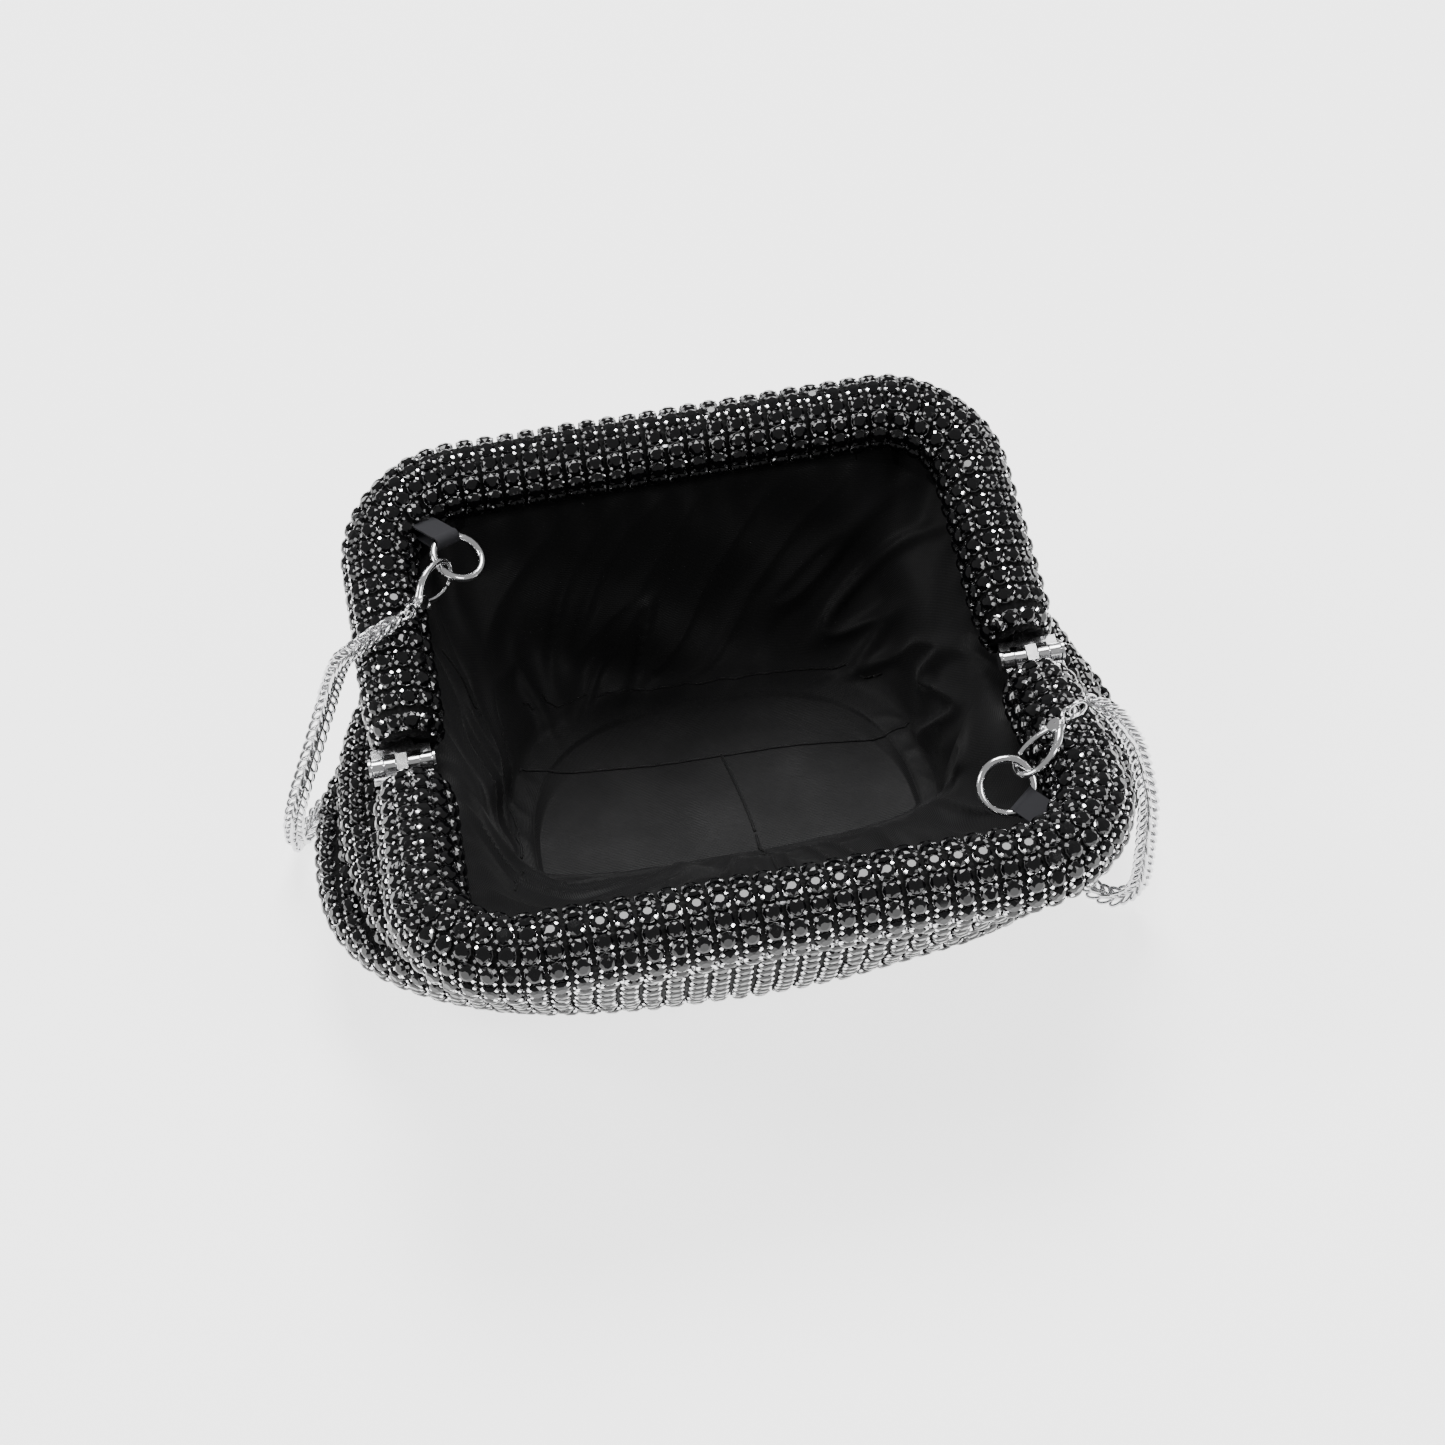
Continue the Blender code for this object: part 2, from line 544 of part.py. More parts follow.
    # The lever turns on the pin and closes the mouth of the hook; its thumb piece stands out behind.
    hook_end = Vector((tip - 3.2 * MM - pivot_x, -3.7 * MM - pivot_y, 0))
    gate = hook_end.normalized()
    reach = hook_end.length - CLASP_WIRE - GAP
    side_way = Vector((-gate.y, gate.x, 0))
    lever_half = 0.62 * MM
    outline = []
    for index in range(9):
        angle = math.pi / 2 + math.pi * index / 8
        outline.append(gate * (1.05 * MM * math.cos(angle)) + side_way * (1.05 * MM * math.sin(angle)))
    thumb = [gate * 1.4 * MM - side_way * 2.5 * MM, gate * 2.4 * MM - side_way * 2.3 * MM,
             gate * 2.6 * MM - side_way * lever_half]
    outline += thumb + [gate * reach - side_way * lever_half, gate * reach + side_way * lever_half]
    lever = add_object("clasp_lever_" + side, outline_mesh(
        "lever", [(p.x, p.y) for p in outline], LEVER_THICKNESS), pivot, BRIGHT, at_pivot)
    boolean(lever, drill, "DIFFERENCE")

    # The end link passes through the eye and reaches for the chain.
    chain_way = (Vector(layout["chain"]) - eye).normalized()
    chain_way = (chain_way - face * chain_way.dot(face) * LINK_LEVELLING).normalized()
    upright = (face - chain_way * face.dot(chain_way)).normalized()
    flat = chain_way.cross(upright)
    link = curve_mesh("link", circle_points(LINK_LENGTH, LINK_WIDTH, 16), LINK_WIRE, 8, cyclic=True)
    add_object("end_link_" + side, link, pivot, BRIGHT,
               axes_matrix(eye + chain_way * LINK_LENGTH, chain_way, flat))


def build_chain():
    """The chain as three plain tubes: a drop at each clasp and the run on the table between them."""
    route = [Vector(point) * MM for point in LEFT_DROP + FLOOR_RUN + RIGHT_DROP]
    fine = smooth_curve(route)
    joins = [0.0]
    for knots in (LEFT_DROP, LEFT_DROP + FLOOR_RUN, LEFT_DROP + FLOOR_RUN + RIGHT_DROP):
        joins.append(line_length(fine[:(len(knots) - 1) * 20 + 1]))
    names = (("chain_left_drop", DROP_STEP), ("chain_floor_run", FLOOR_STEP), ("chain_right_drop", DROP_STEP))
    for (name, step), start, end in zip(names, joins, joins[1:]):
        start += GAP if start else 0.0
        end -= GAP if end < joins[-1] else 0.0
        points = even_points(fine, round((end - start) / step), start, end)
        add_object(name, curve_mesh(name, points, CHAIN_RADIUS, 8), colour=BRIGHT)


def build_pivot(name, lift, turn):
    """An empty on the hinge axis, tilted with its frame half."""
    pivot = bpy.data.objects.new(name, None)
    BAG.objects.link(pivot)
    pivot.matrix_world = (Matrix.Translation((0, HINGE_Y, HINGE_HEIGHT))
                          @ Matrix.Rotation(turn, 4, "Z") @ Matrix.Rotation(lift, 4, "X"))
    return pivot


for old in list(bpy.data.objects):
    bpy.data.objects.remove(old)
BAG = collection("evening_bag")
HELPERS = collection("helpers", hidden=True)
STEEL = material("nickel_plated_steel", (0.72, 0.72, 0.73), 0.22, 1.0)
BRIGHT = material("polished_nickel", (0.78, 0.78, 0.79), 0.15, 1.0)
MAGNET = material("magnet", (0.45, 0.45, 0.47), 0.35, 1.0)
FOAM = material("foam", (0.30, 0.30, 0.31), 0.95)
STONES = material("stone_mesh", (0.015, 0.015, 0.017), 0.25)
SATIN = material("satin_lining", (0.012, 0.012, 0.013), 0.45)
RIBBON = material("ribbon", (0.02, 0.02, 0.022), 0.6)

# The hinge axis sits so that the open frame is centred front to back over the origin.
HINGE_Y = (math.cos(FRONT_LIFT) - math.cos(BACK_LIFT)) * FRAME_REACH / 2

FRONT_PIVOT = build_pivot("front_frame_pivot", FRONT_LIFT, math.pi)
BACK_PIVOT = build_pivot("back_frame_pivot", BACK_LIFT, 0.0)
build_frame_half("front", FRONT_PIVOT)
build_frame_half("back", BACK_PIVOT)
for label, sign in (("left", -1), ("right", 1)):
    build_hinge_leaf("front_hinge_leaf_" + label, FRONT_PIVOT, -sign, own=(1, 3), others=(0, 2, 4))
    build_hinge_leaf("back_hinge_leaf_" + label, BACK_PIVOT, sign, own=(0, 2, 4), others=(1, 3))
    build_hinge_pin("hinge_pin_" + label, sign)
build_pouch()

# Places in the pivot's own axes: along the hinge, out towards the rail, and up off the frame.
build_clasp("left", BACK_PIVOT, {
    "ring": (-FRAME_HALF_WIDTH + 20.3 * MM, FRAME_REACH - 26.7 * MM, 5.0 * MM),
    "eye": (-FRAME_HALF_WIDTH + 5.7 * MM, FRAME_REACH - 44.5 * MM, 10.8 * MM),
    "facing": (-0.1, -0.48, 0.87), "hand": 1.0,
    "chain": (-79.5 * MM, 32.6 * MM, 13.2 * MM),
})
build_clasp("right", FRONT_PIVOT, {
    "ring": (-FRAME_HALF_WIDTH + 18.8 * MM, FRAME_REACH - 27.1 * MM, 2.8 * MM),
    "eye": (-FRAME_HALF_WIDTH + 1.9 * MM, FRAME_REACH - 35.6 * MM, 13.8 * MM),
    "facing": (0.1, 0.8, 0.6), "hand": 1.0,
    "chain": (-83.4 * MM, 43.4 * MM, 13.4 * MM),
})
build_chain()
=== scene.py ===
import json
import math

import bmesh
import bpy
import numpy as np
from mathutils import Matrix, Vector, noise
from mathutils.bvhtree import BVHTree

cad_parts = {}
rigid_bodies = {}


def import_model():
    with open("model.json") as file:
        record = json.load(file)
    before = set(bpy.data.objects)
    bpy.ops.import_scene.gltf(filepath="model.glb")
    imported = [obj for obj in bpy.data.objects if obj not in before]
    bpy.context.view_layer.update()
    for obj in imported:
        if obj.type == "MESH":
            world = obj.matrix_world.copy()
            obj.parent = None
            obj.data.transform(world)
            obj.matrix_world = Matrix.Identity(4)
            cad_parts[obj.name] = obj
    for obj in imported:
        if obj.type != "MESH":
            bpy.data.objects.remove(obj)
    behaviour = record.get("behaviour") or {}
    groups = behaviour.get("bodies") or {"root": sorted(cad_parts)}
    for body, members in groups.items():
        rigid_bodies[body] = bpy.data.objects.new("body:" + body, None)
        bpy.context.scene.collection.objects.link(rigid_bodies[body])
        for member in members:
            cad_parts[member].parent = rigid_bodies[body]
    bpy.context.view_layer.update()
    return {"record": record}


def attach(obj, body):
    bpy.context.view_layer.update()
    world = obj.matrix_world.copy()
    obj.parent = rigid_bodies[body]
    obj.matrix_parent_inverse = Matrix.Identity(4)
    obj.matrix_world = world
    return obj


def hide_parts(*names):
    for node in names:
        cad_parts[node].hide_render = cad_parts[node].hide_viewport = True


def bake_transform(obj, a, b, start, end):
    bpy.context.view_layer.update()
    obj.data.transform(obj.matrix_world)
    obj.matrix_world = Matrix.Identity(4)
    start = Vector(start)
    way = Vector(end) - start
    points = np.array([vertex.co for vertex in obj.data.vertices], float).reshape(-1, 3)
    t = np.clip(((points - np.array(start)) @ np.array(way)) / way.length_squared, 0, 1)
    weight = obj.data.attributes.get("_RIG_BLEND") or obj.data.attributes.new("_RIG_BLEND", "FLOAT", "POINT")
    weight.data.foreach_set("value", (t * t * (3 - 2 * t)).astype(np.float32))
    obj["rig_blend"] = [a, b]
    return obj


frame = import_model()

bl_info = {
    "name": "Stone-set evening bag",
    "version": (1, 0, 0),
    "blender": (4, 5, 0),
    "location": "View3D > Sidebar > Evening Bag",
    "description": "Builds the stones, cloth, chain and fittings of an open frame bag",
    "category": "Object",
}

MM = 0.001
JOINTS = {joint["name"]: joint for joint in frame["record"]["behaviour"]["joints"]}
HINGE = Vector(JOINTS["front_frame_hinge"]["pos_m"])

# Frame halves in their own axes: X along the hinge, Y from the hinge to the rail, Z up off the half.
HALF_WIDTH = 79.1 * MM
REACH = 80.8 * MM
CORNER = 24.2 * MM
COVER_START = 5.5 * MM
COVER_RADIUS = 10.4 * MM
LIFT = {"front": math.radians(9.3), "back": math.radians(17.4)}
LEG = REACH - CORNER - COVER_START
ARC = CORNER * math.pi / 2
RAIL = 2 * (HALF_WIDTH - CORNER)
PATH_LENGTH = 2 * LEG + 2 * ARC + RAIL

STONE_HEIGHT = 2.0 * MM
CLOTH_RADIUS = COVER_RADIUS - STONE_HEIGHT
ROWS_ROUND = 12
LEG_STONES = 9
RAIL_STONES = 20
# Length, least share of the radius, and drop of the centreline where each cover is gathered at its ends.
END_TAPERS = {"front": (15.0 * MM, 0.5, 4.6 * MM), "back": (6.5 * MM, 0.8, 2.2 * MM)}

# Pouch levels: height, bulge of the ends, tuck of the front, tuck of the back, squareness.
RIM_DROP = 1.4 * MM
LINING_INSET = 2.6 * MM
RIM_SQUARENESS = 5.0
POUCH_LEVELS = (
    (42.0 * MM, 20.0 * MM, 8.5 * MM, 3.5 * MM, 3.2),
    (27.0 * MM, 30.0 * MM, 16.0 * MM, 8.5 * MM, 2.5),
    (13.0 * MM, 23.0 * MM, 25.0 * MM, 14.5 * MM, 2.35),
    (4.0 * MM, 10.0 * MM, 37.0 * MM, 23.0 * MM, 2.3),
    (0.0 * MM, 0.0 * MM, 48.0 * MM, 32.0 * MM, 2.3),
)
# The lining hangs loose inside the pouch, with its floor towards the back.
LINING_LEVELS = (
    (47.0 * MM, -10.0 * MM, 17.0 * MM, 5.0 * MM, 4.0),
    (33.0 * MM, -15.0 * MM, 38.0 * MM, 8.0 * MM, 3.4),
    (21.0 * MM, -18.0 * MM, 58.0 * MM, 12.0 * MM, 3.0),
    (13.5 * MM, -20.0 * MM, 66.0 * MM, 17.0 * MM, 2.8),
    (10.5 * MM, -26.0 * MM, 71.0 * MM, 25.0 * MM, 2.6),
)
LINING_FLOOR = 10.0               # millimetres, before it is made uneven
WALL_ROWS = 16
BLEND_REACH = 40.0 * MM
WALL_PITCH = 5.49 * MM
BASE_PITCH = 5.45 * MM
COVER_PITCH = 5.25 * MM           # between stones round the corners of a cover
COVER_SLACK = 0.1 * MM            # how far the cloth and cups of a cover lie inside CLOTH_RADIUS
ZIGZAG_STEP = 1.5 * MM
FLOOR_NARROWING = 0.12            # how much shorter the line under the hinges is than the floor
POUCH_NODES = {"front": ("front_panel", "left_gusset", "bottom_panel"),
               "back": ("back_panel", "right_gusset")}
LINING_NODES = {"front": ("lining_front", "lining_left", "lining_bottom"),
                "back": ("lining_back", "lining_right")}

# Chain route in millimetres, from the back left clasp round behind the bag to the front right clasp.
LEFT_DROP = (
    (-77.5, 29.1, 83.3), (-85.8, 26.4, 80.8), (-91.8, 28.4, 74.4), (-95.8, 31.8, 64.5),
    (-99.6, 33.5, 53.5), (-105.2, 30.2, 42.0), (-110.6, 26.8, 31.0), (-114.0, 26.6, 20.5),
    (-115.2, 30.0, 9.5), (-113.8, 36.6, 3.0), (-109.0, 46.0, 2.4), (-99.0, 57.0, 2.4),
)
FLOOR_RUN = (
    (-84.0, 67.5, 2.4), (-66.0, 78.0, 2.4), (-46.0, 81.5, 2.4), (-27.0, 75.0, 2.4),
    (-9.0, 67.5, 2.4), (10.0, 71.5, 2.4), (28.0, 80.0, 2.4), (48.0, 81.0, 2.4),
    (66.0, 71.0, 2.4), (82.0, 60.0, 2.4), (94.0, 47.0, 2.4), (101.0, 30.0, 2.4),
    (99.5, 12.0, 2.4),
)
RIGHT_DROP = (
    (95.0, -4.0, 2.4), (90.5, -17.0, 2.4), (90.2, -28.0, 2.4), (95.2, -34.2, 2.8),
    (99.6, -36.6, 7.0), (101.0, -38.2, 14.0), (101.2, -38.9, 24.0), (101.1, -39.1, 35.0),
    (100.6, -38.6, 45.0), (99.0, -37.0, 54.5), (96.6, -36.6, 63.5), (93.2, -37.8, 71.0),
    (89.2, -39.2, 78.6), (84.1, -39.0, 83.2),
)
LINK_PITCH = 3.0 * MM

# Fittings: origin in millimetres, X axis and Z axis of each piece.
PLACES = {
    "ring_left": ((-58.8, 51.447, 81.949), (-0.61497, -0.7885, 0.00892), (0.37561, -0.28297, 0.88252)),
    "clasp_left": ((-72.883, 33.39, 82.153), (0.61497, 0.7885, -0.00892), (0.76659, -0.59515, 0.24111)),
    "tab_left": ((-61.388, 56.172, 84.566), (-0.5639, 0.82188, -0.08082), (0.81989, 0.54542, -0.17408)),
    "link_left": ((-74.579, 31.748, 82.584), (-0.70685, -0.68428, 0.17923), (-0.05856, 0.30911, 0.94922)),
    "ring_right": ((60.3, -51.224, 72.441), (0.77229, 0.46456, 0.4333), (-0.03326, -0.65157, 0.75786)),
    "clasp_right": ((77.986, -40.586, 82.364), (-0.77229, -0.46456, -0.4333), (-0.4937, 0.00968, 0.86958)),
    "tab_right": ((64.067, -54.835, 69.502), (0.4247, -0.8868, 0.18227), (-0.77673, -0.46034, -0.42986)),
    "link_right": ((80.257, -39.925, 82.769), (0.94649, 0.27511, 0.16876), (0.25059, -0.95594, 0.15291)),
}


# ---------------------------------------------------------------- helpers

def add_node(tree, kind, values=None, **settings):
    """A node with its settings; a value that is a socket becomes a link."""
    made = tree.nodes.new(kind)
    for key, value in settings.items():
        setattr(made, key, value)
    for key, value in (values or {}).items():
        if isinstance(value, bpy.types.NodeSocket):
            tree.links.new(value, made.inputs[key])
        else:
            made.inputs[key].default_value = value
    return made


def new_object(name, mesh, smooth=True):
    """Link a mesh to the scene at the origin."""
    made = bpy.data.objects.new(name, mesh)
    bpy.context.scene.collection.objects.link(made)
    if smooth:
        mesh.shade_smooth()
    return made


def grid_mesh(name, rows, uv=None, flip=False):
    """A mesh from rows of points."""
    width = len(rows[0])
    points = [tuple(p) for row in rows for p in row]
    faces = []
    for i in range(len(rows) - 1):
        for j in range(width - 1):
            quad = (i * width + j, (i + 1) * width + j, (i + 1) * width + j + 1, i * width + j + 1)
            faces.append(quad[::-1] if flip else quad)
    mesh = bpy.data.meshes.new(name)
    mesh.from_pydata(points, [], faces)
    if uv:
        layer = mesh.uv_layers.new(name="cloth")
        flat = [c for row in uv for c in row]
        for loop in mesh.loops:
            layer.data[loop.index].uv = flat[loop.vertex_index]
    return mesh


def tube_mesh(name, points, radii, sides=12, cyclic=False, flat=1.0):
    """A swept round or flattened tube with closed ends."""
    count = len(points)
    rows = []
    side = None
    for i, point in enumerate(points):
        before = points[i - 1] if i or cyclic else points[0]
        after = points[(i + 1) % count] if i < count - 1 or cyclic else points[-1]
        along = (after - before).normalized()
        if side is None:
            guess = Vector((0, 0, 1)) if abs(along.z) < 0.9 else Vector((1, 0, 0))
            side = along.cross(guess).normalized()
        side = (side - along * side.dot(along)).normalized()
        up = side.cross(along)
        radius = radii[i] if isinstance(radii, (list, tuple)) else radii
        rows.append([point + (side * math.cos(2 * math.pi * k / sides)
                              + up * math.sin(2 * math.pi * k / sides) * flat) * radius
                     for k in range(sides)])
    bm = bmesh.new()
    rings = [[bm.verts.new(p) for p in row] for row in rows]
    for i in range(count if cyclic else count - 1):
        a, b = rings[i], rings[(i + 1) % count]
        for k in range(sides):
            bm.faces.new((a[k], a[(k + 1) % sides], b[(k + 1) % sides], b[k]))
    if not cyclic:
        bm.faces.new(rings[0])
        bm.faces.new(rings[-1][::-1])
    bmesh.ops.recalc_face_normals(bm, faces=bm.faces)
    mesh = bpy.data.meshes.new(name)
    bm.to_mesh(mesh)
    bm.free()
    return mesh


def join_meshes(name, meshes):
    """One mesh from several, dropping the sources."""
    bm = bmesh.new()
    for mesh in meshes:
        bm.from_mesh(mesh)
        bpy.data.meshes.remove(mesh)
    made = bpy.data.meshes.new(name)
    bm.to_mesh(made)
    bm.free()
    return made


def smooth_curve(points, steps=20):
    """Closely spaced points on a smooth curve through the given points."""
    ends = [2 * points[0] - points[1]] + list(points) + [2 * points[-1] - points[-2]]
    fine = []
    for a, b, c, d in zip(ends, ends[1:], ends[2:], ends[3:]):
        for index in range(steps):
            t = index / steps
            fine.append(0.5 * (2 * b + (c - a) * t + (2 * a - 5 * b + 4 * c - d) * t * t
                               + (3 * b - a - 3 * c + d) * t ** 3))
    return fine + [points[-1].copy()]


def even_points(fine, count):
    """Evenly spaced points along a line of closely spaced ones."""
    lengths = np.cumsum([0.0] + [(b - a).length for a, b in zip(fine, fine[1:])])
    flat = np.array([tuple(p) for p in fine])
    return [value_at(w, lengths, flat) for w in np.linspace(0, lengths[-1], count + 1)]


def line_lengths(line):
    """Distance along a line of points, at each point."""
    return np.concatenate(([0.0], np.cumsum(np.linalg.norm(np.diff(line, axis=0), axis=1))))


def value_at(want, lengths, table):
    """Vector read from a table at a distance along its line."""
    return Vector([np.interp(want, lengths, table[:, k]) for k in range(3)])


def half_matrix(label):
    """Placement of a frame half's own axes in the open bag."""
    turn = math.pi if label == "front" else 0.0
    return (Matrix.Translation(HINGE) @ Matrix.Rotation(turn, 4, "Z")
            @ Matrix.Rotation(LIFT[label], 4, "X"))


def piece_matrix(name):
    """Placement of a fitting from its origin and two axes."""
    origin, x_axis, z_axis = (Vector(v) for v in PLACES[name])
    x_axis.normalize()
    z_axis = (z_axis - x_axis * z_axis.dot(x_axis)).normalized()
    turn = Matrix((x_axis, z_axis.cross(x_axis), z_axis)).transposed()
    return Matrix.Translation(origin * MM) @ turn.to_4x4()


# ---------------------------------------------------------------- materials

def effect_group(name, inputs, build):
    """A shader node group with named inputs and outputs for colour, roughness and normal."""
    tree = bpy.data.node_groups.get(name)
    if tree:
        return tree
    tree = bpy.data.node_groups.new(name, "ShaderNodeTree")
    for label, kind, value in inputs:
        socket = tree.interface.new_socket(label, in_out="INPUT", socket_type=kind)
        socket.default_value = value
    for label, kind in (("Color", "NodeSocketColor"), ("Roughness", "NodeSocketFloat"),
                        ("Normal", "NodeSocketVector")):
        tree.interface.new_socket(label, in_out="OUTPUT", socket_type=kind)
    source = tree.nodes.new("NodeGroupInput")
    target = tree.nodes.new("NodeGroupOutput")
    results = build(tree, source.outputs)
    for label, socket in results.items():
        tree.links.new(socket, target.inputs[label])
    return tree


COMMON = (("Color", "NodeSocketColor", (0.5, 0.5, 0.5, 1.0)), ("Roughness", "NodeSocketFloat", 0.3),
          ("Variation", "NodeSocketFloat", 0.2), ("Scale", "NodeSocketFloat", 400.0),
          ("Relief", "NodeSocketFloat", 0.2))


def spread(tree, value, middle, amount):
    """middle + (value - 0.5) * amount"""
    shifted = add_node(tree, "ShaderNodeMath", {0: value, 1: 0.5}, operation="SUBTRACT")
    return add_node(tree, "ShaderNodeMath", {0: shifted.outputs[0], 1: amount, 2: middle},
                    operation="MULTIPLY_ADD", use_clamp=True).outputs[0]


def tinted(tree, colour, value, amount):
    """The colour, darker or lighter with a value from 0 to 1."""
    gain = spread(tree, value, 1.0, amount)
    scaled = add_node(tree, "ShaderNodeVectorMath", {0: colour}, operation="SCALE")
    tree.links.new(gain, scaled.inputs["Scale"])
    return scaled.outputs[0]


def glass_effect(tree, given):
    island = add_node(tree, "ShaderNodeNewGeometry").outputs["Random Per Island"]
    return {"Color": tinted(tree, given["Color"], island, given["Variation"]),
            "Roughness": spread(tree, island, given["Roughness"], given["Variation"]),
            "Normal": add_node(tree, "ShaderNodeNewGeometry").outputs["Normal"]}


def metal_effect(tree, given):
    place = add_node(tree, "ShaderNodeTexCoord").outputs["Object"]
    fine = add_node(tree, "ShaderNodeTexNoise", {"Vector": place, "Scale": given["Scale"], "Detail": 4.0})
    broad = add_node(tree, "ShaderNodeTexNoise", {"Vector": place, "Scale": 90.0, "Detail": 2.0})
    bump = add_node(tree, "ShaderNodeBump", {"Height": fine.outputs["Fac"], "Strength": given["Relief"],
                                             "Distance": 0.00003})
    return {"Color": tinted(tree, given["Color"], broad.outputs["Fac"], given["Variation"]),
            "Roughness": spread(tree, fine.outputs["Fac"], given["Roughness"], given["Variation"]),
            "Normal": bump.outputs["Normal"]}


def woven_effect(tree, given):
    """Fine ribs along one direction of the cloth map, crossed by a fainter thread."""
    place = add_node(tree, "ShaderNodeUVMap", uv_map="cloth").outputs["UV"]
    ribs = add_node(tree, "ShaderNodeTexWave", {"Vector": place, "Scale": given["Scale"], "Distortion": 0.6,
                                                "Detail": 1.0}, wave_type="BANDS", bands_direction="Y")
    cross = add_node(tree, "ShaderNodeTexWave", {
        "Vector": place, "Scale": given["Scale"], "Distortion": 0.3, "Detail": 0.0},
        wave_type="BANDS", bands_direction="DIAGONAL")
    both = add_node(tree, "ShaderNodeMath", {0: cross.outputs["Fac"], 1: 0.5, 2: ribs.outputs["Fac"]},
                    operation="MULTIPLY_ADD").outputs[0]
    cloud = add_node(tree, "ShaderNodeTexNoise", {"Vector": place, "Scale": 60.0, "Detail": 3.0})
    bump = add_node(tree, "ShaderNodeBump", {
        "Height": both, "Strength": given["Relief"], "Distance": 0.00012})
    return {"Color": tinted(tree, given["Color"], ribs.outputs["Fac"], given["Variation"]),
            "Roughness": spread(tree, cloud.outputs["Fac"], given["Roughness"], given["Variation"]),
            "Normal": bump.outputs["Normal"]}


def knit_effect(tree, given):
    place = add_node(tree, "ShaderNodeTexCoord").outputs["Object"]
    cells = add_node(tree, "ShaderNodeTexVoronoi", {"Vector": place, "Scale": given["Scale"]})
    bump = add_node(tree, "ShaderNodeBump", {"Height": cells.outputs["Distance"], "Strength": given["Relief"],
                                             "Distance": 0.0003})
    return {"Color": tinted(tree, given["Color"], cells.outputs["Distance"], given["Variation"]),
            "Roughness": spread(tree, cells.outputs["Distance"], given["Roughness"], given["Variation"]),
            "Normal": bump.outputs["Normal"]}


EFFECTS = {"glass": glass_effect, "metal": metal_effect, "woven": woven_effect, "knit": knit_effect}

# Finish: effect, colour, roughness, variation, scale, relief, metallic, then Principled extras.
FINISHES = {
    "black_stone": ("glass", (0.002, 0.002, 0.0025), 0.05, 0.06, 1.0, 0.0, 0.0, {"IOR": 1.5}),
    "stone_cup": ("metal", (0.86, 0.86, 0.87), 0.16, 0.15, 900.0, 0.3, 1.0, {}),
    "backing": ("knit", (0.003, 0.003, 0.0033), 0.8, 0.4, 900.0, 0.8, 0.0, {"IOR": 1.3}),
    "satin": ("woven", (0.014, 0.014, 0.0144), 0.42, 0.4, 560.0, 0.4, 0.0,
              {"IOR": 1.4, "Specular IOR Level": 0.12, "Sheen Weight": 0.05, "Sheen Roughness": 0.4}),
    "ribbon": ("woven", (0.006, 0.006, 0.0065), 0.6, 0.3, 360.0, 0.8, 0.0, {"Specular IOR Level": 0.1}),
    "nickel": ("metal", (0.82, 0.82, 0.83), 0.13, 0.1, 700.0, 0.15, 1.0, {}),
    "hinge_nickel": ("metal", (0.78, 0.78, 0.79), 0.18, 0.15, 800.0, 0.2, 1.0, {}),
    # Chain: real nickel, with its colour set darker than the clasps' (0.62 against 0.82) as painted shade for
    # the dark gaps between the plaited links.
    "chain_nickel_painted_shade": ("metal", (0.62, 0.62, 0.63), 0.1, 0.12, 900.0, 0.15, 1.0, {}),
    "drawn_steel": ("metal", (0.55, 0.55, 0.56), 0.3, 0.2, 500.0, 0.3, 1.0, {}),
    "magnet_plate": ("metal", (0.45, 0.45, 0.47), 0.35, 0.2, 300.0, 0.3, 1.0, {}),
}


def finish(name):
    """The named procedural material."""
    made = bpy.data.materials.get(name)
    if made:
        return made
    effect, colour, roughness, variation, scale, relief, metallic, extras = FINISHES[name]
    made = bpy.data.materials.new(name)
    made.use_nodes = True
    tree = made.node_tree
    shader = tree.nodes["Principled BSDF"]
    source = effect_group(effect + "_effect", COMMON, EFFECTS[effect])
    group = add_node(tree, "ShaderNodeGroup", node_tree=source)
    for label, value in (("Color", (*colour, 1.0)), ("Roughness", roughness), ("Variation", variation),
                         ("Scale", scale), ("Relief", relief)):
        group.inputs[label].default_value = value
    tree.links.new(group.outputs["Color"], shader.inputs["Base Color"])
    tree.links.new(group.outputs["Roughness"], shader.inputs["Roughness"])
    if effect != "glass":
        tree.links.new(group.outputs["Normal"], shader.inputs["Normal"])
    shader.inputs["Metallic"].default_value = metallic
    for label, value in extras.items():
        shader.inputs[label].default_value = value
    return made


# ---------------------------------------------------------------- stones

def ring_verts(bm, radius, height, count, turn=0.0):
    """Vertices round a level circle."""
    return [bm.verts.new((radius * math.cos(2 * math.pi * (i + turn) / count),
                          radius * math.sin(2 * math.pi * (i + turn) / count), height))
            for i in range(count)]


def stone_mesh():
    """A round black stone with an eight-sided table."""
    bm = bmesh.new()
    table = ring_verts(bm, 1.05 * MM, STONE_HEIGHT, 8)
    crown = ring_verts(bm, 1.72 * MM, STONE_HEIGHT - 0.36 * MM, 8, 0.5)
    girdle = ring_verts(bm, 2.3 * MM, 0.85 * MM, 8)
    foot = ring_verts(bm, 2.15 * MM, 0.3 * MM, 8)
    bm.faces.new(table)
    for i in range(8):
        k = (i + 1) % 8
        bm.faces.new((table[i], crown[i], table[k]))
        bm.faces.new((crown[i - 1], girdle[i], crown[i], table[i]))
        bm.faces.new((crown[i], girdle[i], girdle[k]))
        bm.faces.new((girdle[i], foot[i], foot[k], girdle[k]))
    bmesh.ops.recalc_face_normals(bm, faces=bm.faces)
    mesh = bpy.data.meshes.new("cut_stone")
    bm.to_mesh(mesh)
    bm.free()
    return mesh


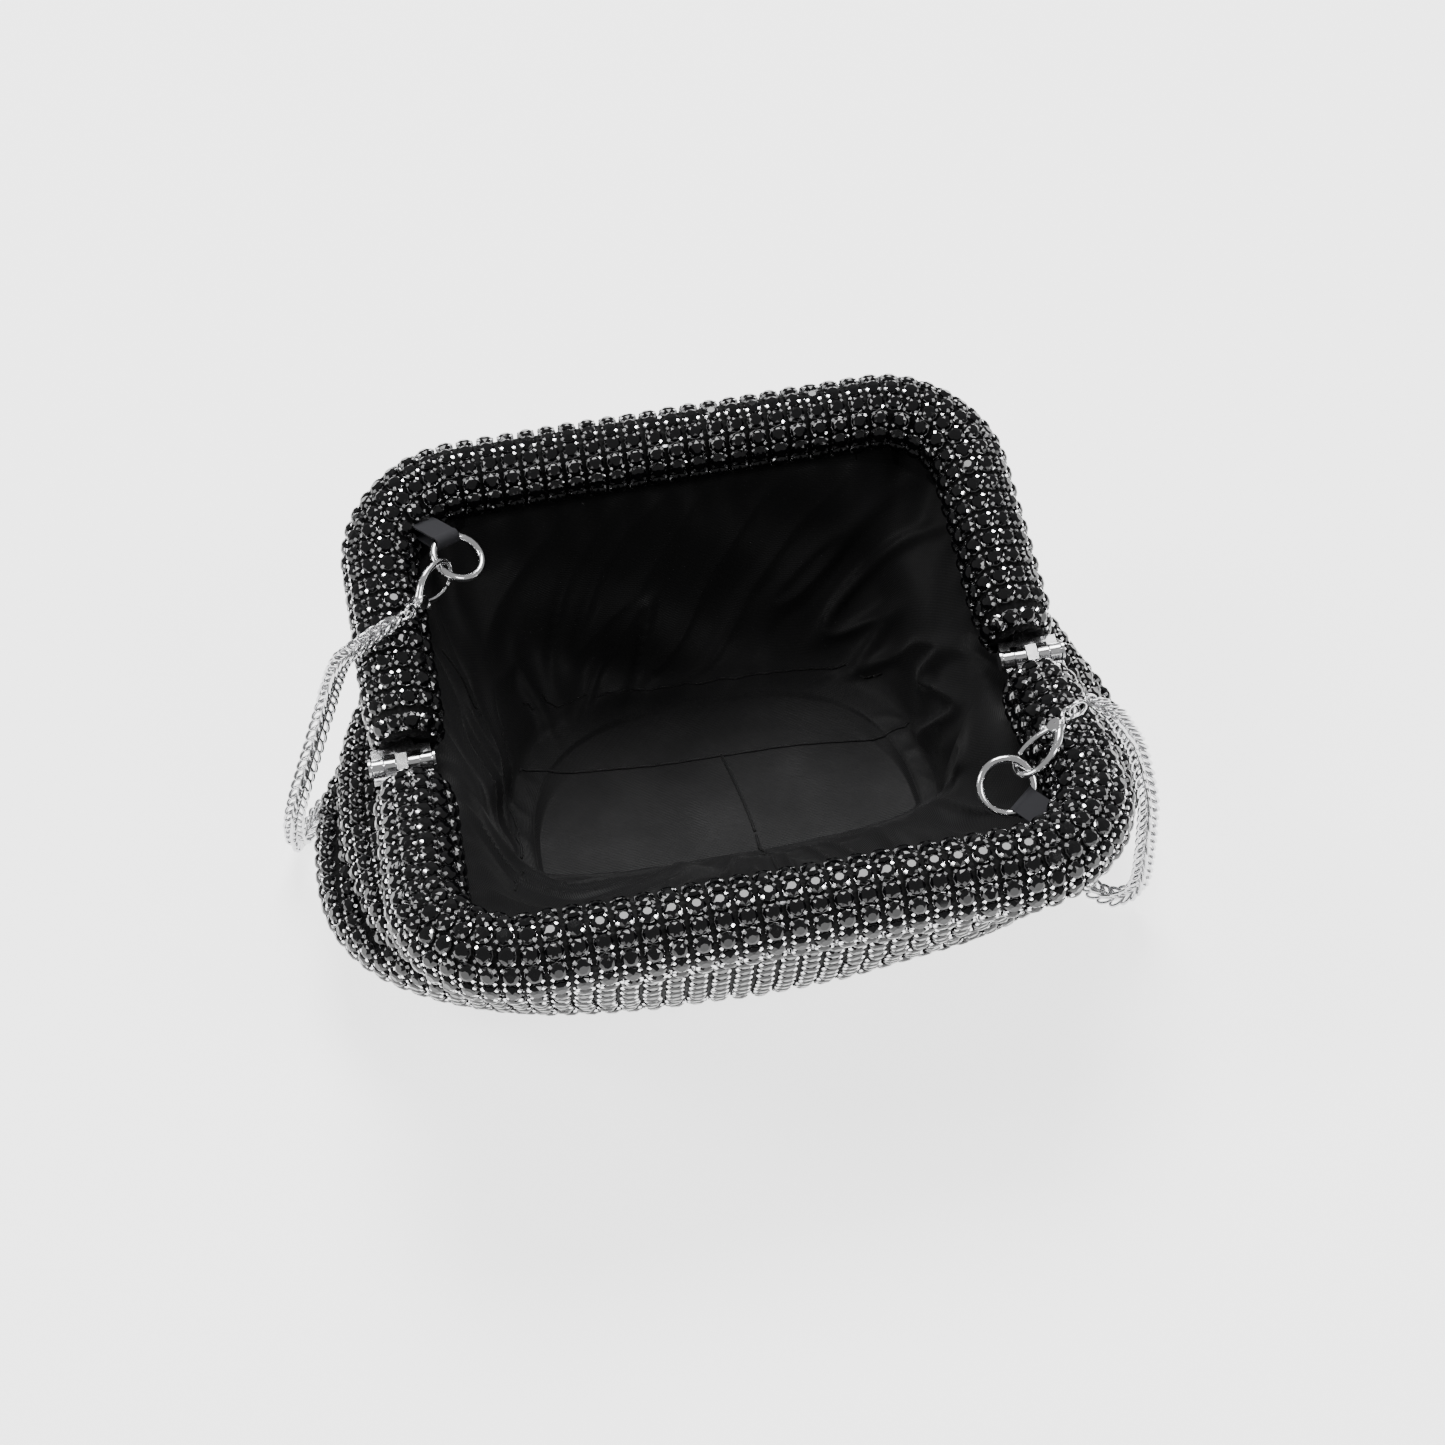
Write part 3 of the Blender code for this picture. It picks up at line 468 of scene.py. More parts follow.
def cup_mesh():
    """The metal cup under a stone, with a prong at each corner."""
    bm = bmesh.new()
    foot = ring_verts(bm, 1.95 * MM, -0.05 * MM, 12)
    outer = ring_verts(bm, 2.25 * MM, 0.3 * MM, 12)
    inner = ring_verts(bm, 2.05 * MM, 0.32 * MM, 12)
    for i in range(12):
        k = (i + 1) % 12
        bm.faces.new((foot[i], foot[k], outer[k], outer[i]))
        bm.faces.new((outer[i], outer[k], inner[k], inner[i]))
    profile = ((2.7, 0.1, 0.4), (2.72, 0.95, 0.44), (2.5, 1.3, 0.44), (1.9, 1.42, 0.3), (1.85, 1.1, 0.3))
    for corner in range(4):
        turn = math.radians(45 + 90 * corner)
        out = Vector((math.cos(turn), math.sin(turn), 0))
        side = Vector((-out.y, out.x, 0))
        strips = []
        for sign in (-1, 1):
            strips.append([bm.verts.new((out * r + side * sign * w + Vector((0, 0, z))) * MM)
                           for r, z, w in profile])
        a, b = strips
        for i in range(len(profile) - 1):
            bm.faces.new((a[i], b[i], b[i + 1], a[i + 1]))
        bm.faces.new(a)
        bm.faces.new(b[::-1])
    mesh = bpy.data.meshes.new("stone_cup")
    bm.to_mesh(mesh)
    bm.free()
    return mesh


def layout_tree(labels):
    """Geometry Nodes that put shapes on points, turned by each point's own facing."""
    name = "layout_" + "_".join(labels)
    tree = bpy.data.node_groups.get(name)
    if tree:
        return tree
    tree = bpy.data.node_groups.new(name, "GeometryNodeTree")
    face = tree.interface
    face.new_socket("Geometry", in_out="INPUT", socket_type="NodeSocketGeometry")
    for label in labels:
        face.new_socket(label + " Shape", in_out="INPUT", socket_type="NodeSocketObject")
        face.new_socket(label + " Material", in_out="INPUT", socket_type="NodeSocketMaterial")
    tilt = face.new_socket("Tilt", in_out="INPUT", socket_type="NodeSocketVector")
    tilt.default_value = (0.0, 0.0, 0.0)
    face.new_socket("Seed", in_out="INPUT", socket_type="NodeSocketInt")
    face.new_socket("Geometry", in_out="OUTPUT", socket_type="NodeSocketGeometry")
    source = tree.nodes.new("NodeGroupInput").outputs
    target = tree.nodes.new("NodeGroupOutput")
    facing = add_node(tree, "GeometryNodeInputNamedAttribute", {"Name": "facing"}, data_type="FLOAT_VECTOR")
    least = add_node(tree, "ShaderNodeVectorMath", {0: source["Tilt"]}, operation="SCALE")
    least.inputs["Scale"].default_value = -1.0
    chance = add_node(tree, "FunctionNodeRandomValue", data_type="FLOAT_VECTOR")
    tree.links.new(least.outputs[0], chance.inputs[0])
    tree.links.new(source["Tilt"], chance.inputs[1])
    tree.links.new(source["Seed"], chance.inputs["Seed"])
    turn = add_node(tree, "FunctionNodeEulerToRotation", {0: facing.outputs["Attribute"]})
    nudge = add_node(tree, "FunctionNodeEulerToRotation", {0: chance.outputs[0]})
    both = add_node(tree, "FunctionNodeRotateRotation", {0: turn.outputs[0], 1: nudge.outputs[0]},
                    rotation_space="LOCAL")
    join = tree.nodes.new("GeometryNodeJoinGeometry")
    for label in labels:
        shape = add_node(tree, "GeometryNodeObjectInfo", {"Object": source[label + " Shape"],
                                                          "As Instance": True})
        placed = add_node(tree, "GeometryNodeInstanceOnPoints", {
            "Points": source["Geometry"], "Instance": shape.outputs["Geometry"], "Rotation": both.outputs[0]})
        real = add_node(tree, "GeometryNodeRealizeInstances", {0: placed.outputs[0]})
        dressed = add_node(tree, "GeometryNodeSetMaterial", {"Geometry": real.outputs[0],
                                                             "Material": source[label + " Material"]})
        tree.links.new(dressed.outputs[0], join.inputs[0])
    tree.links.new(join.outputs[0], target.inputs[0])
    return tree


def place_shapes(name, frames, shapes, tilt=(0.0, 0.0, 0.0), seed=1):
    """Bake shapes onto frames, each a position and a 3x3 turn, as one plain mesh object."""
    cloud = bpy.data.meshes.new(name + "_points")
    cloud.from_pydata([tuple(place) for place, _ in frames], [], [])
    facing = cloud.attributes.new("facing", "FLOAT_VECTOR", "POINT")
    turns = [c for _, turn in frames for c in turn.to_euler()]
    facing.data.foreach_set("vector", turns)
    holder = new_object(name + "_points", cloud, smooth=False)
    templates = {label: new_object(name + "_" + label, mesh, smooth=False)
                 for label, (mesh, _) in shapes.items()}
    modifier = holder.modifiers.new("Layout", "NODES")
    tree = layout_tree(list(shapes))
    values = {"Tilt": tilt, "Seed": seed}
    for label, (_, material) in shapes.items():
        values[label + " Shape"] = templates[label]
        values[label + " Material"] = material
    identifiers = {item.name: item.identifier for item in tree.interface.items_tree if item.in_out == "INPUT"}
    modifier.node_group = tree
    for label, value in values.items():
        modifier[identifiers[label]] = value
    graph = bpy.context.evaluated_depsgraph_get()
    baked = bpy.data.meshes.new_from_object(holder.evaluated_get(graph))
    baked.name = name
    for used in [holder, *templates.values()]:
        data = used.data
        bpy.data.objects.remove(used)
        bpy.data.meshes.remove(data)
    for attribute in list(baked.attributes):
        if attribute.name == "facing":
            baked.attributes.remove(attribute)
    return new_object(name, baked, smooth=False)


def surface_frame(place, along, out):
    """Position and turn of a shape that stands on a surface."""
    out = out.normalized()
    along = (along - out * along.dot(out)).normalized()
    return place, Matrix((along, out.cross(along), out)).transposed()


def set_stones(name, frames, seed):
    """Stones in their cups, one on each frame."""
    settings = bpy.context.scene.bag_stones
    return place_shapes(name, frames, {"Stone": (stone_mesh(), finish("black_stone")),
                                       "Cup": (cup_mesh(), finish("stone_cup"))},
                        tilt=(settings.tilt, settings.tilt, settings.tilt * 0.6), seed=seed)


# ---------------------------------------------------------------- frame covers

def path_place(distance):
    """Centreline point, direction along it and direction outwards, in the half's own axes."""
    if distance > PATH_LENGTH / 2:
        place, along, out = path_place(PATH_LENGTH - distance)
        return (Vector((-place.x, place.y, 0)), Vector((along.x, -along.y, 0)), Vector((-out.x, out.y, 0)))
    if distance < LEG:
        return (Vector((-HALF_WIDTH, COVER_START + distance, 0)), Vector((0, 1, 0)), Vector((-1, 0, 0)))
    if distance < LEG + ARC:
        turn = (distance - LEG) / CORNER
        centre = Vector((-HALF_WIDTH + CORNER, REACH - CORNER, 0))
        out = Vector((-math.cos(turn), math.sin(turn), 0))
        return centre + out * CORNER, Vector((math.sin(turn), math.cos(turn), 0)), out
    return (Vector((-HALF_WIDTH + CORNER + distance - LEG - ARC, REACH, 0)), Vector((1, 0, 0)),
            Vector((0, 1, 0)))


def cover_distances(section):
    """Where the stones of one row stand along the centreline; the corner rows fill their own length."""
    leg = [LEG * (i + 0.5) / LEG_STONES for i in range(LEG_STONES)]
    radius = CORNER + (CLOTH_RADIUS + STONE_HEIGHT / 2) * math.cos(section)
    turns = max(3, round(radius * math.pi / 2 / COVER_PITCH))
    bend = [LEG + ARC * (i + 0.5) / turns for i in range(turns)]
    rail = [LEG + ARC + RAIL * (i + 0.5) / RAIL_STONES for i in range(RAIL_STONES)]
    return leg + bend + rail + [PATH_LENGTH - d for d in bend + leg]


def end_taper(label, distance):
    """Share of the full radius and drop of the centreline near the gathered ends of a cover."""
    near = min(distance, PATH_LENGTH - distance)
    length, least, drop = END_TAPERS[label]
    if near >= length:
        return 1.0, 0.0
    share = near / length
    return least + (1 - least) * math.sin(share * math.pi / 2), drop * (1 - share) ** 2


def cover_point(label, distance, section, radius):
    """Point on a cover at this radius before its ends narrow."""
    place, _, out = path_place(distance)
    scale, drop = end_taper(label, distance)
    away = out * math.cos(section) + Vector((0, 0, math.sin(section)))
    return place + away * radius * scale - Vector((0, 0, drop))


def cover_frame(label, distance, section, radius):
    """Place, direction along the cover and direction off it."""
    step = 0.3 * MM
    ahead = cover_point(label, min(PATH_LENGTH, distance + step), section, radius)
    behind = cover_point(label, max(0.0, distance - step), section, radius)
    left = cover_point(label, distance, section + 0.02, radius)
    right = cover_point(label, distance, section - 0.02, radius)
    away = (left - right).cross(ahead - behind).normalized()
    place = cover_point(label, distance, section, radius)
    centre, _, _ = path_place(distance)
    if away.dot(place - centre) < 0:
        away = -away
    return place, (ahead - behind).normalized(), away


def build_cover(label):
    """Cloth tube and stones of one frame half."""
    matrix = half_matrix(label)
    turn = matrix.to_3x3()
    frames = []
    for row in range(ROWS_ROUND):
        section = 2 * math.pi * (row + 0.5) / ROWS_ROUND
        for distance in cover_distances(section):
            if end_taper(label, distance)[0] < 0.82 and row % 2:
                continue
            wobble = noise.noise(Vector((distance * 60, row * 3.7, 2.0))) * 0.25 * MM
            place, along, away = cover_frame(label, distance, section, CLOTH_RADIUS - COVER_SLACK + wobble)
            frames.append(surface_frame(matrix @ place, turn @ along, turn @ away))
    stones = set_stones(label + "_frame_stones", frames, 3 if label == "front" else 4)

    rows = []
    ends = ((2.4, 0.6), (1.5, 3.2), (0.7, 6.0), (0.15, 8.0), (0.5, 8.75))
    steps = [(d * MM, r * MM) for d, r in ends]
    count = 150
    span = PATH_LENGTH - 2.4 * MM
    steps += [(1.2 * MM + span * i / count, CLOTH_RADIUS - COVER_SLACK) for i in range(count + 1)]
    steps += [(PATH_LENGTH - d, r) for d, r in reversed(steps[:len(ends)])]
    sides = 48
    for distance, radius in steps:
        row = []
        for k in range(sides + 1):
            section = 2 * math.pi * k / sides
            pleat = 0.0
            if radius < 8.5 * MM:
                pleat = 0.45 * MM * math.sin(section * 12) * min(1.0, radius / (4 * MM))
            near = distance + (pleat if distance < PATH_LENGTH / 2 else -pleat)
            point = cover_point(label, max(0.0, min(PATH_LENGTH, near)), section, radius)
            row.append(matrix @ point)
        rows.append(row)
    mesh = grid_mesh(label + "_frame_cloth", rows)
    bm = bmesh.new()
    bm.from_mesh(mesh)
    bmesh.ops.remove_doubles(bm, verts=bm.verts, dist=0.00001)
    bmesh.ops.recalc_face_normals(bm, faces=bm.faces)
    bm.to_mesh(mesh)
    bm.free()
    cloth = new_object(label + "_frame_cloth", mesh)
    cloth.data.materials.append(finish("backing"))
    for piece in (stones, cloth):
        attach(piece, label + "_frame")
    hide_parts(label + "_frame_cover", label + "_foam_padding")


# ---------------------------------------------------------------- pouch

def rim_height(y):
    """Height of the pouch rim, just below the covers."""
    lift = LIFT["front"] if y < 0 else LIFT["back"]
    return HINGE.z + abs(y) * math.tan(lift) - (COVER_RADIUS + RIM_DROP) / math.cos(lift)


def outline_point(turn, half_width, front, back, squareness):
    """A point on a rounded-rectangle outline about the hinge axis."""
    across, along = math.cos(turn), math.sin(turn)
    depth = front if along < 0 else back
    reach = (abs(across / half_width) ** squareness + abs(along / depth) ** squareness) ** (-1 / squareness)
    return reach * across, reach * along


def wall_column(turn, rows, levels):
    """Points down a wall from the rim to its lower edge, at one turn round it."""
    front = REACH * math.cos(LIFT["front"])
    back = REACH * math.cos(LIFT["back"])
    x, y = outline_point(turn, HALF_WIDTH, front, back, RIM_SQUARENESS)
    column = [Vector((x, y + HINGE.y, rim_height(y)))]
    for height, bulge, front_tuck, back_tuck, squareness in levels:
        x, y = outline_point(turn, HALF_WIDTH + bulge, front - front_tuck, back - back_tuck, squareness)
        column.append(Vector((x, y + HINGE.y, height)))
    return even_points(smooth_curve(column, 12), rows)


def crease(turn, height):
    """How far the soft wall falls inwards: a fold low on each end and a gentle unevenness."""
    side = math.cos(turn)
    level = 37 * MM if side < 0 else 33 * MM
    fold = 3.4 * MM * math.exp(-((height - level - 4 * MM * math.sin(turn * 2)) / (3.6 * MM)) ** 2)
    fold *= max(0.0, abs(side) - 0.55) / 0.45
    soft = noise.noise(Vector((math.cos(turn) * 2.2, math.sin(turn) * 2.2, height * 30))) * 0.9 * MM
    return fold + max(0.0, soft)


class Wall:
    """The pouch wall as a table of points, with its outward directions."""

    def __init__(self, label, levels=POUCH_LEVELS, creased=True, columns=160, rows=64):
        start = math.pi if label == "front" else 0.0
        self.turns = [start + math.pi * i / columns for i in range(columns + 1)]
        table = np.array([[tuple(p) for p in wall_column(turn, rows, levels)] for turn in self.turns])
        out = self.outward(table)
        for i, turn in enumerate(self.turns if creased else ()):
            for j in range(rows + 1):
                table[i, j] -= out[i, j] * crease(turn, table[i, j, 2]) * min(1.0, table[i, j, 2] / (12 * MM))
        self.table = table
        self.out = self.outward(table)
        self.rows = rows

    @staticmethod
    def outward(table):
        """Direction off the wall at each point of its table."""
        across = np.gradient(table, axis=0)
        down = np.gradient(table, axis=1)
        out = np.cross(down, across)
        out /= np.linalg.norm(out, axis=2, keepdims=True) + 1e-12
        middle = table.mean(axis=(0, 1))
        if (out * (table - middle)).sum() < 0:
            out = -out
        return out

    def row_frames(self, share, pitch, inset):
        """Stones along one row, spaced from the middle of the front or back towards the hinges."""
        j = share * self.rows
        low = int(j)
        part = j - low
        line = self.table[:, low] * (1 - part) + self.table[:, min(low + 1, self.rows)] * part
        out = self.out[:, low] * (1 - part) + self.out[:, min(low + 1, self.rows)] * part
        lengths = line_lengths(line)
        middle = np.interp((self.turns[0] + self.turns[-1]) / 2, self.turns, lengths)
        frames = []
        for sign, half in ((-1, middle), (1, lengths[-1] - middle)):
            count = round(half / pitch)
            for index in range(count):
                want = middle + sign * (index + 0.5) * half / count
                place = value_at(want, lengths, line)
                away = value_at(want, lengths, out).normalized()
                ahead = value_at(want + MM, lengths, line) - place
                if ahead.length < 0.0001 * MM:
                    ahead = place - value_at(want - MM, lengths, line)
                frames.append(surface_frame(place - away * inset, ahead, away))
        return frames


def base_frames(wall, label):
    """Stones under the bag, facing the table."""
    ring = wall.table[:, -1]
    frames = []
    sign = -1 if label == "front" else 1
    depth = np.abs(ring[:, 1] - HINGE.y)
    row_count = round(depth.max() / BASE_PITCH)
    for row in range(row_count):
        off = (row + 0.5) * depth.max() / row_count
        y = HINGE.y + sign * off
        reach = max(abs(x) for x, d in zip(ring[:, 0], depth) if d >= off)
        count = int(reach / BASE_PITCH)
        for i in range(-count, count):
            place = Vector(((i + 0.5) * BASE_PITCH, y, STONE_HEIGHT + 0.05 * MM))
            frames.append(surface_frame(place, Vector((1, 0, 0)), Vector((0, 0, -1))))
    return frames


def floor_rows(ring, height, steps):
    """Rows from a ring of points to the line across the bag under its hinges."""
    rows = []
    for k in range(1, steps + 1):
        part = k / steps
        rows.append([Vector((x * (1 - FLOOR_NARROWING * part), y + (HINGE.y - y) * part,
                             z + (height - z) * min(1.0, part * 4))) for x, y, z in ring])
    return rows


def build_pouch_half(label):
    """Cloth and stones of the front or back half of the pouch; the halves meet below the hinges."""
    wall = Wall(label)
    frames = []
    for row in range(WALL_ROWS):
        frames += wall.row_frames((row + 0.45) / WALL_ROWS, WALL_PITCH, STONE_HEIGHT)
    frames += base_frames(wall, label)
    stones = set_stones(label + "_pouch_stones", frames, 5 if label == "front" else 6)
    inset = wall.table - wall.out * (STONE_HEIGHT - 0.05 * MM)
    rows = [[Vector(inset[i, 0]) + Vector((0, 0, 7.0 * MM)) for i in range(len(inset))]]
    rows += [[Vector(inset[i, j]) for i in range(len(inset))] for j in range(0, wall.rows + 1, 2)]
    for point in rows[-1]:
        point.z = max(point.z, STONE_HEIGHT)
    rows += floor_rows([tuple(p) for p in rows[-1]], STONE_HEIGHT + 0.05 * MM, 6)
    mesh = grid_mesh(label + "_pouch_cloth", rows)
    cloth = new_object(label + "_pouch_cloth", mesh)
    orient(cloth, outwards=True)
    cloth.data.materials.append(finish("backing"))
    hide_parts(*POUCH_NODES[label])
    for piece in (stones, cloth):
        blend_half(piece, label)


def blend_half(piece, label):
    """Blend a piece from the pouch, at the hinge line, to its frame half, BLEND_REACH away from it."""
    sign = -1 if label == "front" else 1
    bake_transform(piece, "pouch", label + "_frame", start=(0, HINGE.y, 0),
             end=(0, HINGE.y + sign * BLEND_REACH, 0))


def orient(piece, outwards):
    """Turn a sheet's faces away from, or towards, the middle of the bag."""
    mesh = piece.data
    middle = Vector((0, HINGE.y, 0.035))
    total = sum(p.normal.dot(p.center - middle) * p.area for p in mesh.polygons)
    if (total < 0) == outwards:
        mesh.flip_normals()


def build_edge_line(label):
    """The zigzag selvedge of the stone mesh where the wall meets the frame cover."""
    wall = Wall(label)
    line = wall.table[:, 1]
    out = wall.out[:, 1]
    lengths = line_lengths(line)
    count = int(lengths[-1] / ZIGZAG_STEP)
    points = []
    for i in range(count + 1):
        want = lengths[-1] * i / count
        place = value_at(want, lengths, line)
        away = value_at(want, lengths, out)
        points.append(place + away * 0.3 * MM + Vector((0, 0, (1.0 if i % 2 else -0.4) * MM)))
    piece = new_object(label + "_edge_line", tube_mesh(label + "_edge_line", points, 0.24 * MM, sides=5))
    piece.data.materials.append(finish("stone_cup"))
    blend_half(piece, label)


# ---------------------------------------------------------------- lining

def lining_fold(turn, share, label):
    """How far the loose satin stands in from its smooth shape, in metres."""
    depth = bpy.context.scene.bag_lining.fold_depth
    fade = math.sin(math.pi * min(1.0, max(0.0, share))) ** 0.7
    seed = 7.0 if label == "back" else 3.0
    drape = noise.noise(Vector((turn * 2.3 + share * 2.6, share * 1.1, seed)))
    second = noise.noise(Vector((turn * 5.2 - share * 3.4, share * 1.8, seed + 4.0)))
    ridge = max(0.0, 1 - abs(second) * 3.2) ** 2
    gather = 0.2 * math.sin(turn * 50 + 3 * drape) * max(0.0, 1 - share * 4)
    return depth * (fade * (1.7 * drape + 0.8 * ridge) + gather)


def floor_height(x, y):
    """Height of the uneven lining floor."""
    soft = noise.noise(Vector((x * 24, y * 30, 4.0))) * 1.6 + noise.noise(Vector((x * 60, y * 50, 9.0))) * 0.4
    return (LINING_FLOOR + soft) * MM


def raised(height, least):
    """The larger of two heights, rounded where they meet."""
    soft = 4.0 * MM
    return (height + least + math.sqrt((height - least) ** 2 + soft * soft)) / 2


def build_lining_half(label):
    """Satin lining of one half: wall with folds, running into its half of the floor."""
    wall = Wall(label, LINING_LEVELS, creased=False)
    columns = len(wall.table)
    rows, maps = [], []
    shares = [-0.05] + [j / wall.rows for j in range(0, wall.rows + 1)]
    for share in shares:
        j = max(0, min(wall.rows, round(share * wall.rows)))
        row, uv = [], []
        for i in range(columns):
            turn = wall.turns[i]
            ends = min(1.0, math.sin(turn - wall.turns[0] + 1e-6) * 6)
            inset = LINING_INSET + lining_fold(turn, share, label) * max(0.0, ends)
            point = Vector(wall.table[i, j]) - Vector(wall.out[i, j]) * inset
            if share < 0:
                point.z += 8.0 * MM
            point.z = raised(point.z, floor_height(point.x, point.y))
            row.append(point)
            uv.append((turn * 0.09, share * 0.085))
        rows.append(row)
        maps.append(uv)
    ring = [tuple(p) for p in rows[-1]]
    steps = 26
    for k in range(1, steps + 1):
        part = k / steps
        row, uv = [], []
        for i, (x, y, z) in enumerate(ring):
            point = Vector((x * (1 - FLOOR_NARROWING * part), y + (HINGE.y - y) * part, 0))
            floor = floor_height(point.x, point.y)
            point.z = z + (raised(floor, floor) - z) * min(1.0, part * 5)
            row.append(point)
            uv.append((point.x, 0.085 + point.y))
        rows.append(row)
        maps.append(uv)
    mesh = grid_mesh(label + "_lining", rows, uv=maps)
    piece = new_object(label + "_lining", mesh)
    orient(piece, outwards=False)
    piece.data.materials.append(finish("satin"))
    return piece


SEAMS = {
    "back": (((-60, 65, 13), (-30, 61, 12), (20, 58, 12), (62, 54, 13)),
             ((-57, 37, 11), (-20, 33, 11), (20, 30, 11), (58, 27, 11)),
             ((3.0, 32, 11), (4.5, 22, 11), (6.0, 10, 12), (6.8, 2, 13)),
             ((-66, 46, 56), (-61, 38, 38), (-57, 26, 20), (-56, 16, 14), (-57, 4, 14))),
    "front": (((6.8, 0.8, 13), (7.2, -10, 18), (7.6, -19, 24), (8.0, -30, 31)),
              ((-57, 0, 14), (-59, -8, 19), (-62, -17, 25), (-65, -30, 34))),
}


def build_seams(label, lining):
    """Sewn seams: a low rolled ridge lying on the satin."""
    tree = BVHTree.FromPolygons([v.co for v in lining.data.vertices],
                                [tuple(p.vertices) for p in lining.data.polygons])
    meshes = []
    for seam in SEAMS[label]:
        fine = even_points(smooth_curve([Vector(p) * MM for p in seam]), 70)
        points = []
        for place in fine:
            hit, normal, _, _ = tree.find_nearest(place)
            points.append(hit + normal * 0.05 * MM)
        meshes.append(tube_mesh("seam", points, 0.42 * MM, sides=8, flat=0.7))
    mesh = join_meshes(label + "_lining_seams", meshes)
    layer = mesh.uv_layers.new(name="cloth")
    for loop in mesh.loops:
        place = mesh.vertices[loop.vertex_index].co
        layer.data[loop.index].uv = (place.x, place.y)
    piece = new_object(label + "_lining_seams", mesh)
    piece.data.materials.append(finish("satin"))
    return piece


# ---------------------------------------------------------------- chain

def link_mesh():
    """One pitch of a plaited chain: slanted loops on each face, like a herringbone."""
    meshes = []
    for face, shift in ((0, 0.0), (1, 0.5)):
        turn = Matrix.Rotation(face * math.pi / 2, 4, "X")
        for side in (-1, 1):
            loop = [Vector((2.5 * math.cos(a), 1.0 * math.sin(a), 0.35 * math.sin(a))) * MM
                    for a in (2 * math.pi * k / 14 for k in range(14))]
            place = (turn @ Matrix.Translation((shift * LINK_PITCH, side * 0.95 * MM, 0))
                     @ Matrix.Rotation(side * math.radians(30), 4, "Z")
                     @ Matrix.Rotation(side * math.radians(14), 4, "X"))
            meshes.append(tube_mesh("loop", [place @ p for p in loop], 0.46 * MM, sides=7, cyclic=True))
    made = join_meshes("chain_links", meshes)
    made.shade_smooth()
    return made


def chain_frames(points):
    """Positions and turns along a line, without twisting."""
    frames = []
    up = Vector((0, 0, 1))
    for i, place in enumerate(points):
        along = (points[min(i + 1, len(points) - 1)] - points[max(i - 1, 0)]).normalized()
        up = (up - along * up.dot(along)).normalized()
        frames.append((place, Matrix((along, up.cross(along), up)).transposed()))
    return frames


def build_chain(name, knots, piece_body, nodes):
    """One stretch of chain as baked links along its route."""
    fine = smooth_curve(knots)
    length = sum((b - a).length for a, b in zip(fine, fine[1:]))
    points = even_points(fine, round(length / LINK_PITCH))
    # The links take the chain nickel, darkened as painted shade for the gaps between the links.
    piece = place_shapes(name, chain_frames(points), {"Link": (link_mesh(), finish("chain_nickel_painted_shade"))},
                         tilt=(0.1, 0.02, 0.04), seed=8)
    piece.data.shade_smooth()
    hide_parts(*nodes)
    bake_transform(piece, "pouch", piece_body, start=(0, 0, 0.006), end=(0, 0, 0.080))
    return piece


# ---------------------------------------------------------------- fittings

def ellipse(radius_x, radius_y, count):
    """Points round an ellipse."""
    return [Vector((radius_x * math.cos(2 * math.pi * i / count),
                    radius_y * math.sin(2 * math.pi * i / count), 0)) for i in range(count)]


def fitting(name, mesh, place, body, nodes):
    """A polished piece, put in its place on a body."""
    mesh.transform(place)
    piece = new_object(name, mesh)
    mesh.materials.append(finish("nickel"))
    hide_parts(*nodes)
    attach(piece, body)
    return piece


def build_fittings(side):
    """Ring, lobster clasp, lever and end link at one corner; returns those that lie on the chain."""
    body = side + "_clasp"
    ring = tube_mesh("ring", ellipse(6.5 * MM, 6.5 * MM, 72), 1.05 * MM, 16, cyclic=True)
    fitting("ring_" + side + "_wire", ring, piece_matrix("ring_" + side), body, ("ring_" + side,))
    place = piece_matrix("clasp_" + side)
    tip = 18.75
    hook = [(3.2, 0.3), (4.6, 1.0), (7.0, 3.0), (10.2, 4.3), (tip - 4.4, 4.35), (tip - 1.6, 3.1), (tip, 0.6),
            (tip - 0.9, -2.3), (tip - 3.2, -3.7)]
    line = even_points(smooth_curve([Vector((x, y, 0)) * MM for x, y in hook]), 60)
    radii = [(1.35 - 0.62 * min(1.0, i / 26) + 0.14 * math.sin(math.pi * i / 60)) * MM for i in range(61)]
    parts = [tube_mesh("hook", line, radii, 16, flat=0.85),
             tube_mesh("eye", ellipse(1.75 * MM, 1.75 * MM, 40), 0.5 * MM, 12, cyclic=True)]
    neck = [Vector((x, 0, 0)) * MM for x in (1.6, 2.2, 2.8, 3.4, 4.0)]
    parts.append(tube_mesh("neck", neck, [r * MM for r in (0.9, 0.62, 0.9, 1.3, 1.5)], 16))
    boss = [Vector((4.4, -0.2, z)) * MM for z in (-1.4, -1.3, 1.3, 1.4)]
    parts.append(tube_mesh("boss", boss, [r * MM for r in (1.7, 1.9, 1.9, 1.7)], 28))
    made = [fitting("clasp_hook_" + side, join_meshes("clasp_hook_" + side, parts), place, body,
                    ("clasp_body_" + side, "clasp_pin_" + side))]
    arm = [(4.6, -0.95), (6.4, -2.0), (9.0, -3.1), (12.0, -3.75), (14.9, -3.75)]
    line = even_points(smooth_curve([Vector((x, y, 0)) * MM for x, y in arm]), 24)
    lever = [tube_mesh("arm", line, [(0.95 - 0.3 * i / 24) * MM for i in range(25)], 14, flat=0.8)]
    thumb = [Vector((x, y, 0)) * MM for x, y in ((6.2, -2.2), (6.5, -3.2), (6.9, -4.0), (7.1, -4.3))]
    lever.append(tube_mesh("thumb", thumb, [r * MM for r in (0.9, 0.95, 0.8, 0.35)], 14))
    made.append(fitting("clasp_gate_" + side, join_meshes("clasp_gate_" + side, lever), place,
                        side + "_lever", ("clasp_lever_" + side,)))
    link = tube_mesh("link", ellipse(2.4 * MM, 1.9 * MM, 40), 0.45 * MM, 12, cyclic=True)
    made.append(fitting("end_link_" + side + "_wire", link, piece_matrix("link_" + side), body,
                        ("end_link_" + side,)))
    return made


